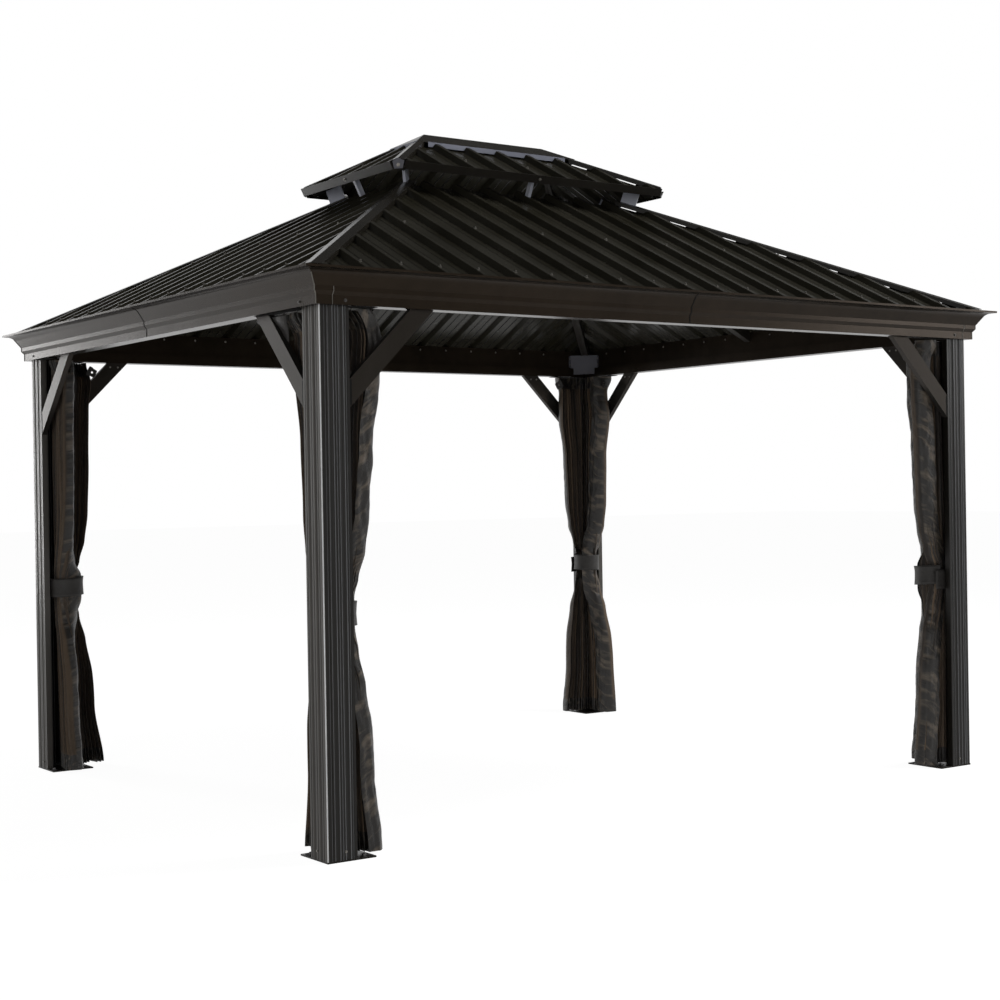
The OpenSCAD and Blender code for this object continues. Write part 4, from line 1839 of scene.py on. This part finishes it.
    def folds(self, z: float) -> list[tuple[Vector, float]]:
        """Line of the net between its two tapes at a height.

        Args:
            z: Height above the ground.

        Returns:
            Places from the post's outer faces, each with its place across the flat cloth.
        """
        pleating = self.pleating
        line = []
        count = pleating.count * pleating.steps
        for step in range(count + 1):
            part = step / count
            spot, way = self.middle(part, z)
            turn = 2 * math.pi * part
            broad = math.cos(turn * pleating.broad_folds + 2.4 * self.wave(2.0 * part, 0.8 * z, 7.0))
            fold = math.sin(turn * pleating.count + 0.9 * self.wave(5 * part, 1.4 * z))
            full = pleating.fold + pleating.fold_change * self.wave(9 * part, 1.1 * z, 9.0)
            drift = pleating.drift * self.wave(7 * part, 2.2 * z, 3.0)
            # The last pleats at each end lie against the outer face.
            outer = max(0.0, abs(2 * part - 1) - pleating.end_start)
            depth = max(pleating.broad * broad + full * fold - outer, -pleating.deepest)
            off = self.rim(part, z) * depth - self.leaned(spot, z)
            along = Vector((way.y, -way.x))
            flat = self.tape + part * (self.flat[0] - 2 * self.tape)
            line.append((spot + way * off + along * drift, flat))
        return line

    def leaned(self, plan: Vector, z: float) -> float:
        """How far the heading leans out under the beam, clear of the post's legs."""
        high = self.between(z, ((self.lean_from, 0.0), (self.lean_to, self.lean)))
        clear = (max(plan.x, plan.y) - self.lean_clear) / self.lean_blend
        return high * min(1.0, max(0.0, clear))

    def crinkle(self, across: float, z: float, layer: float) -> float:
        """Crinkles of a satin border, pressed flat where the tie holds it."""
        coarse = self.crinkle_coarse * self.wave(4 * across, 14 * z + 3 * across, layer)
        fine = self.crinkle_fine * self.wave(9 * across, 34 * z - 6 * across, layer + 1.0)
        return (coarse + fine) * (1 - self.crinkle_pressed * self.drawn(z))

    def spot(self, plan: Vector, z: float) -> Vector:
        """Point in the frame, from its place by the post's outer faces and its height."""
        return self.corner.mirror(Vector((plan.x - SIZES.post_x, plan.y - SIZES.post_y, z)))

    def build(self) -> None:
        """Makes the curtain and what is sewn to it."""
        label = self.corner.label
        cloth = self.cloth(label)
        band = self.band(label)
        flaps = [*self.flaps(label), *self.heading_tapes(label)]
        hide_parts(f"curtain_{label}")

    def cloth(self, label: str) -> bpy.types.Object:
        """Makes the pleated net as one sheet.

        Args:
            label: Name of the corner.

        Returns:
            The cloth.
        """
        spots, flats = [], []
        for row in range(self.rows + 1):
            up = row / self.rows
            z = self.bottom + (self.top - self.bottom) * up
            spots.append([])
            for plan, across in self.section(z):
                # The hem hangs a little unevenly, and the heading dips in scallops.
                hem = self.hem_lift * max(0.0, self.wave(4 * across, 0.0, 2.0)) * (1 - up) ** 6
                heading = self.scallop * (0.5 + 0.5 * self.wave(7 * across, 4.0, 1.0)) * up**40
                spots[-1].append(self.spot(plan, z + hem - heading))
                flats.append((across, up * self.flat[1]))
        thing = grid_through(spots)
        uv = thing.data.uv_layers.active.data
        for loop in thing.data.loops:
            uv[loop.index].uv = flats[loop.vertex_index]
        select_only(thing)
        bpy.ops.object.shade_smooth()
        return keep(thing, f"net_curtain_{label}", self.net)

    def band(self, label: str) -> bpy.types.Object:
        """Makes the tie band round the bundle, its loose end standing off a little.

        Args:
            label: Name of the corner.

        Returns:
            The band.
        """
        tie, root = self.tie, math.sqrt(0.5)
        middle = Vector((tie.place, tie.place))
        spots = []
        for row in range(tie.rows + 1):
            up = row / tie.rows - 0.5
            z = tie.height + up * tie.width
            spots.append([])
            for column in range(tie.columns + 1):
                part = column / tie.columns
                angle = 2 * math.pi * part * tie.wraps + self.tail
                pucker = tie.pucker * self.wave(16 * part, 30 * z, 4.0) + tie.flare * (2 * up) ** 2
                loose = max(0.0, (part - tie.loose_start) / (1 - tie.loose_start))
                lap = tie.lap * part + tie.loose_off * loose**2
                across = (tie.across + pucker + lap) * math.cos(angle)
                inwards = (tie.inwards + pucker + lap) * math.sin(angle)
                plan = Vector((root * (inwards + across), root * (inwards - across)))
                tilt = tie.sway * self.wave(3 * part, 0.0, 6.0) - tie.slope * (part - 0.5)
                spots[-1].append(self.spot(plan + middle, z + tilt))
        thing = thickened(grid_through(spots), tie.thickness)
        return keep(thing, f"tie_band_{label}", self.palette.tape)

    def flaps(self, label: str) -> list[bpy.types.Object]:
        """Makes the two eyelet flaps at the ends of the heading.

        Args:
            label: Name of the corner.

        Returns:
            The flaps and their eyelets.
        """
        made = []
        for end, part in (("beam", 0.0), ("side", 1.0)):
            flap, eyelet = self.flap(part)
            if end == "side" and self.pulled:
                bpy.data.objects.remove(flap)
                flap = self.gore()
            made.append(keep(flap, f"heading_flap_{label}_{end}", self.palette.tape))
            made.append(keep(eyelet, f"eyelet_{label}_{end}", self.palette.grommet))
        return made

    def heading_tapes(self, label: str) -> list[bpy.types.Object]:
        """Makes the dark tapes that hold the heading up against the undersides of the beams.

        Args:
            label: Name of the corner.

        Returns:
            The two tapes.
        """
        form = self.heading
        made = []
        high = SIZES.beam_height - form.under_beam
        depths = (form.edge - SIZES.post_setback, SIZES.beam_depth - SIZES.post_setback - form.edge)
        for end, hang, extra in (("beam", self.beam_end, 0.0), ("side", self.side_end, self.pulled)):
            first, length = SIZES.leg_width + form.edge, hang.head + extra - SIZES.leg_width
            marks = [first + length * step / form.steps for step in range(form.steps + 1)]
            edges = []
            for depth in depths:
                edges.append([])
                for along in marks:
                    plan = Vector((along, depth) if end == "beam" else (depth, along))
                    ripple = form.ripple * abs(self.wave(9 * plan.x, 9 * plan.y, 2.0))
                    edges[-1].append(self.spot(plan, high - ripple))
            tape = ribbon(edges[0], edges[1], form.thickness)
            settle(tape)
            made.append(keep(tape, f"heading_tape_{label}_{end}", self.palette.heading))
        return made

    def gore(self) -> bpy.types.Object:
        """Makes the corner of the border that is pulled out along the side beam to its hook.

        Returns:
            The pulled corner.
        """
        form = self.pulled_corner
        place, way = self.middle(1.0, self.top)
        out = Vector((-way.y, way.x))
        spots = []
        for row in range(form.steps + 1):
            up = row / form.steps
            spots.append([])
            for column in range(form.steps + 1):
                along = column / form.steps
                low = (form.root_depth * (1 - along) + form.tip_depth * along) * (1 - up)
                ripple = form.ripple * self.wave(3 * along, 4 * up, 11.0)
                sway = form.inset + form.spread * (1 - along) * (1 - up) + ripple
                reach = (self.pulled + form.beyond) * along + form.start
                sag = form.sag * math.sin(math.pi * along) * up
                z = self.top - form.under_top - low - sag
                spots[-1].append(self.spot(place + out * reach + way * sway, z))
        return thickened(grid_through(spots), form.thickness)

    def flap(self, part: float) -> tuple[bpy.types.Object, bpy.types.Object]:
        """Models a pointed flap of doubled tape with a hole, and the eyelet in the hole.

        Args:
            part: End of the bundle, 0 or 1.

        Returns:
            The flap and its eyelet.
        """
        form = self.eyelet_flap
        place, way = self.middle(part, self.top)
        out = Vector((way.y, -way.x)) * (1 - 2 * part)
        hooked = part > 0 and self.pulled > 0
        far, inset, drop = form.hooked_seat if hooked else form.sewn_seat
        far += self.pulled if hooked else 0.0
        middle = self.spot(place + out * far + way * inset, self.top - drop)
        ahead = (self.spot(place + out, 0) - self.spot(place, 0)).normalized()
        turn = Matrix((ahead, UP, ahead.cross(UP))).transposed().to_4x4()
        seat = Matrix.Translation(middle) @ turn @ Matrix.Rotation(form.tilt, 4, "Z")
        flap = self.rings(form.hole, (form.ring, form.outline))
        for vert in flap.data.vertices:
            if vert.co.length > form.ring * form.hole + CLOSE:
                along, up = abs(vert.co.x) / vert.co.length, abs(vert.co.y) / vert.co.length
                stretch = form.root if vert.co.x < -form.hole else form.tip
                vert.co *= min(1 / max(along, up), form.square) * stretch
                vert.co.z = form.curl * math.sin(form.curl_rate * vert.co.x)
        eyelet = self.rings(form.hole * form.eyelet_inside, (form.eyelet_outside,))
        for thing, thickness in ((flap, form.thickness), (eyelet, form.eyelet_height)):
            apply_modifier(thing, "SOLIDIFY", thickness=thickness, offset=0.0)
            thing.matrix_world = seat
            settle(thing)
        return flap, eyelet

    def rings(self, radius: float, growth: Sequence[float]) -> bpy.types.Object:
        """Models flat rings round a hole, each pulled out of the one inside it.

        Args:
            radius: Radius of the hole.
            growth: How much larger each ring's outer edge is than its inner one.

        Returns:
            The rings as one object.
        """
        thing = added(bpy.ops.mesh.primitive_circle_add, vertices=self.eyelet_flap.sides, radius=radius)
        with editing(thing, "EDGE"):
            bpy.ops.mesh.select_all(action="SELECT")
            for share in growth:
                bpy.ops.mesh.extrude_edges_move()
                bpy.ops.transform.resize(value=(share, share, 1))
        return thing


@dataclass
class Studio:
    """Plain pale floor, soft lamps and the camera at the viewing angle."""

    lens_px: float = 1745.3
    image_px: float = 1000.0
    place: tuple[float, float, float] = (-4.7327, -6.8282, 1.3098)
    yaw: float = 35.0613
    pitch: float = -0.2979
    roll: float = -0.9323
    sensor_mm: float = 36.0
    floor_size: float = 120.0
    floor_glow: float = 1.2
    glow_share: float = 0.8
    ambient: float = 0.12

    def build(self) -> None:
        """Makes the camera, the floor, the world and the lamps."""
        self.camera()
        self.floor()
        self.world()
        self.lamp("left_back_softbox", (-3.3, 8.0, 2.2), (-1.5, 0, 1.4), (1.5, 3.4), 150)
        self.lamp("left_front_strip", (-8.2, -5.7, 1.6), (-1.0, -0.8, 1.2), (1.2, 3.6), 118)
        self.lamp("front_fill", (-2.5, -10.5, 2.2), (0, 0, 1.4), (3.0, 3.0), 40)
        self.lamp("right_front_softbox", (8.7, -7.5, 2.9), (1.2, -1.4, 1.9), (2.4, 1.4), 82)
        self.lamp("overhead_right_softbox", (5.0, -2.5, 8.0), (0, -0.5, 2.4), (4.0, 4.0), 560)
        bpy.context.scene.view_settings.view_transform = "Standard"

    def camera(self) -> None:
        """Makes the camera."""
        yaw, pitch, roll = (math.radians(a) for a in (self.yaw, self.pitch, self.roll))
        ahead = Vector((math.sin(yaw) * math.cos(pitch), math.cos(yaw) * math.cos(pitch), math.sin(pitch)))
        level = Vector((math.cos(yaw), -math.sin(yaw), 0))
        above = level.cross(ahead)
        right = math.cos(roll) * level + math.sin(roll) * above
        up = -math.sin(roll) * level + math.cos(roll) * above
        data = bpy.data.cameras.new("camera")
        data.sensor_fit = "HORIZONTAL"
        data.sensor_width = self.sensor_mm
        data.lens = self.lens_px / self.image_px * data.sensor_width
        data.clip_end = 200.0
        thing = bpy.data.objects.new("camera", data)
        bpy.context.scene.collection.objects.link(thing)
        turn = Matrix((right, up, -ahead)).transposed().to_4x4()
        thing.matrix_world = Matrix.Translation(self.place) @ turn
        bpy.context.scene.camera = thing

    def seen(self, tree: bpy.types.NodeTree) -> bpy.types.NodeSocket:
        """Adds a switch that is 1 for rays from the camera, reflections and clear materials.

        Args:
            tree: Node tree that gets it.

        Returns:
            The switch.
        """
        path = add_node(tree, "ShaderNodeLightPath")
        first = add_node(
            tree,
            "ShaderNodeMath",
            {"operation": "MAXIMUM"},
            {0: path.outputs["Is Camera Ray"], 1: path.outputs["Is Glossy Ray"]},
        )
        both = add_node(
            tree,
            "ShaderNodeMath",
            {"operation": "MAXIMUM"},
            {0: first.outputs["Value"], 1: path.outputs["Is Transmission Ray"]},
        )
        return both.outputs["Value"]

    def floor(self) -> None:
        """Makes the floor, pale to the eye and still able to take a shadow."""
        thing = added(bpy.ops.mesh.primitive_plane_add, size=self.floor_size)
        thing.name = "studio_floor"
        material, tree, shader = new_material("pale_floor")
        shader.inputs["Base Color"].default_value = linear("#f2f2f2")
        shader.inputs["Roughness"].default_value = 0.9
        shader.inputs["Specular IOR Level"].default_value = 0.0
        glow = add_node(tree, "ShaderNodeEmission", {"Color": (1, 1, 1, 1), "Strength": self.floor_glow})
        share = add_node(
            tree, "ShaderNodeMath", {"operation": "MULTIPLY", 1: self.glow_share}, {0: self.seen(tree)}
        )
        mix = add_node(
            tree,
            "ShaderNodeMixShader",
            links={0: share.outputs["Value"], 1: shader.outputs["BSDF"], 2: glow.outputs["Emission"]},
        )
        tree.links.new(mix.outputs["Shader"], tree.nodes["Material Output"].inputs["Surface"])
        thing.data.materials.append(material)

    def world(self) -> None:
        """Makes a white surround that fades overhead, with a quieter light on the object."""
        world = bpy.data.worlds.new("studio")
        world.use_nodes = True
        bpy.context.scene.world = world
        tree = world.node_tree
        ambient = tree.nodes["Background"]
        ambient.inputs["Color"].default_value = (1, 1, 1, 1)
        ambient.inputs["Strength"].default_value = self.ambient
        way = add_node(tree, "ShaderNodeTexCoord").outputs["Generated"]
        height = add_node(tree, "ShaderNodeSeparateXYZ", links={"Vector": way}).outputs["Z"]
        fade = add_node(
            tree,
            "ShaderNodeMapRange",
            {"From Min": 0.28, "From Max": 0.46, "To Min": 1.0, "To Max": 0.05},
            {"Value": height},
        )
        shown = add_node(
            tree, "ShaderNodeBackground", {"Color": (1, 1, 1, 1)}, {"Strength": fade.outputs["Result"]}
        )
        mix = add_node(
            tree,
            "ShaderNodeMixShader",
            links={0: self.seen(tree), 1: ambient.outputs["Background"], 2: shown.outputs["Background"]},
        )
        tree.links.new(mix.outputs["Shader"], tree.nodes["World Output"].inputs["Surface"])

    def lamp(
        self,
        name: str,
        place: tuple[float, float, float],
        target: tuple[float, float, float],
        size: tuple[float, float],
        power: float,
    ) -> None:
        """Adds a soft lamp that the camera itself doesn't see.

        Args:
            name: Name of the lamp.
            place: Where it stands.
            target: What it points at.
            size: Width and height of its face.
            power: Power in watts.
        """
        data = bpy.data.lights.new(name, "AREA")
        data.shape = "RECTANGLE"
        data.size, data.size_y = size
        data.energy = power
        thing = bpy.data.objects.new(name, data)
        bpy.context.scene.collection.objects.link(thing)
        thing.visible_camera = False
        way = Vector(target) - Vector(place)
        thing.matrix_world = Matrix.Translation(place) @ way.to_track_quat("-Z", "Y").to_matrix().to_4x4()


def main() -> None:
    """Builds the gazebo piece by piece."""
    logging.basicConfig(level=logging.INFO, format="%(name)s %(message)s")
    Studio().build()
    palette = Palette()
    CarriedNodes(palette).dress()
    CorniceSeams(palette).build()
    RoofScrews(palette).build()
    CapFlanges(palette).build()
    CornerFittings(palette).build()
    UpperEave(palette).build()
    net = NetCloth("mosquito_net", Curtain.flat, Curtain.tape).make()
    near = Hang(head=0.282, collar=0.29, shoulder=0.296, middle=0.262, chest=0.238, waist=0.21)
    near_front = replace(near, head=0.228, collar=0.3, shoulder=0.29, middle=0.256, chest=0.234)
    wide = Hang(head=0.252, shoulder=0.25, low=0.252, hem=0.296)
    hangs = {
        Corner.FRONT_LEFT: (near_front, near),
        Corner.FRONT_RIGHT: (Hang(shoulder=0.258, hem=0.26), Hang()),
        Corner.BACK_LEFT: (wide, wide),
        Corner.BACK_RIGHT: (Hang(middle=0.236, chest=0.228), Hang(shoulder=0.28, low=0.28, hem=0.296)),
    }
    seed_step = 3.7
    for number, corner in enumerate(Corner):
        beam_end, side_end = hangs[corner]
        curtain = Curtain(palette, corner, net, beam_end=beam_end, side_end=side_end, seed=seed_step * number)
        if corner is Corner.FRONT_LEFT:
            curtain = replace(curtain, pulled=0.17, tail=1.2, tie_half=0.067)
        curtain.build()


if __name__ == "__main__":
    main()
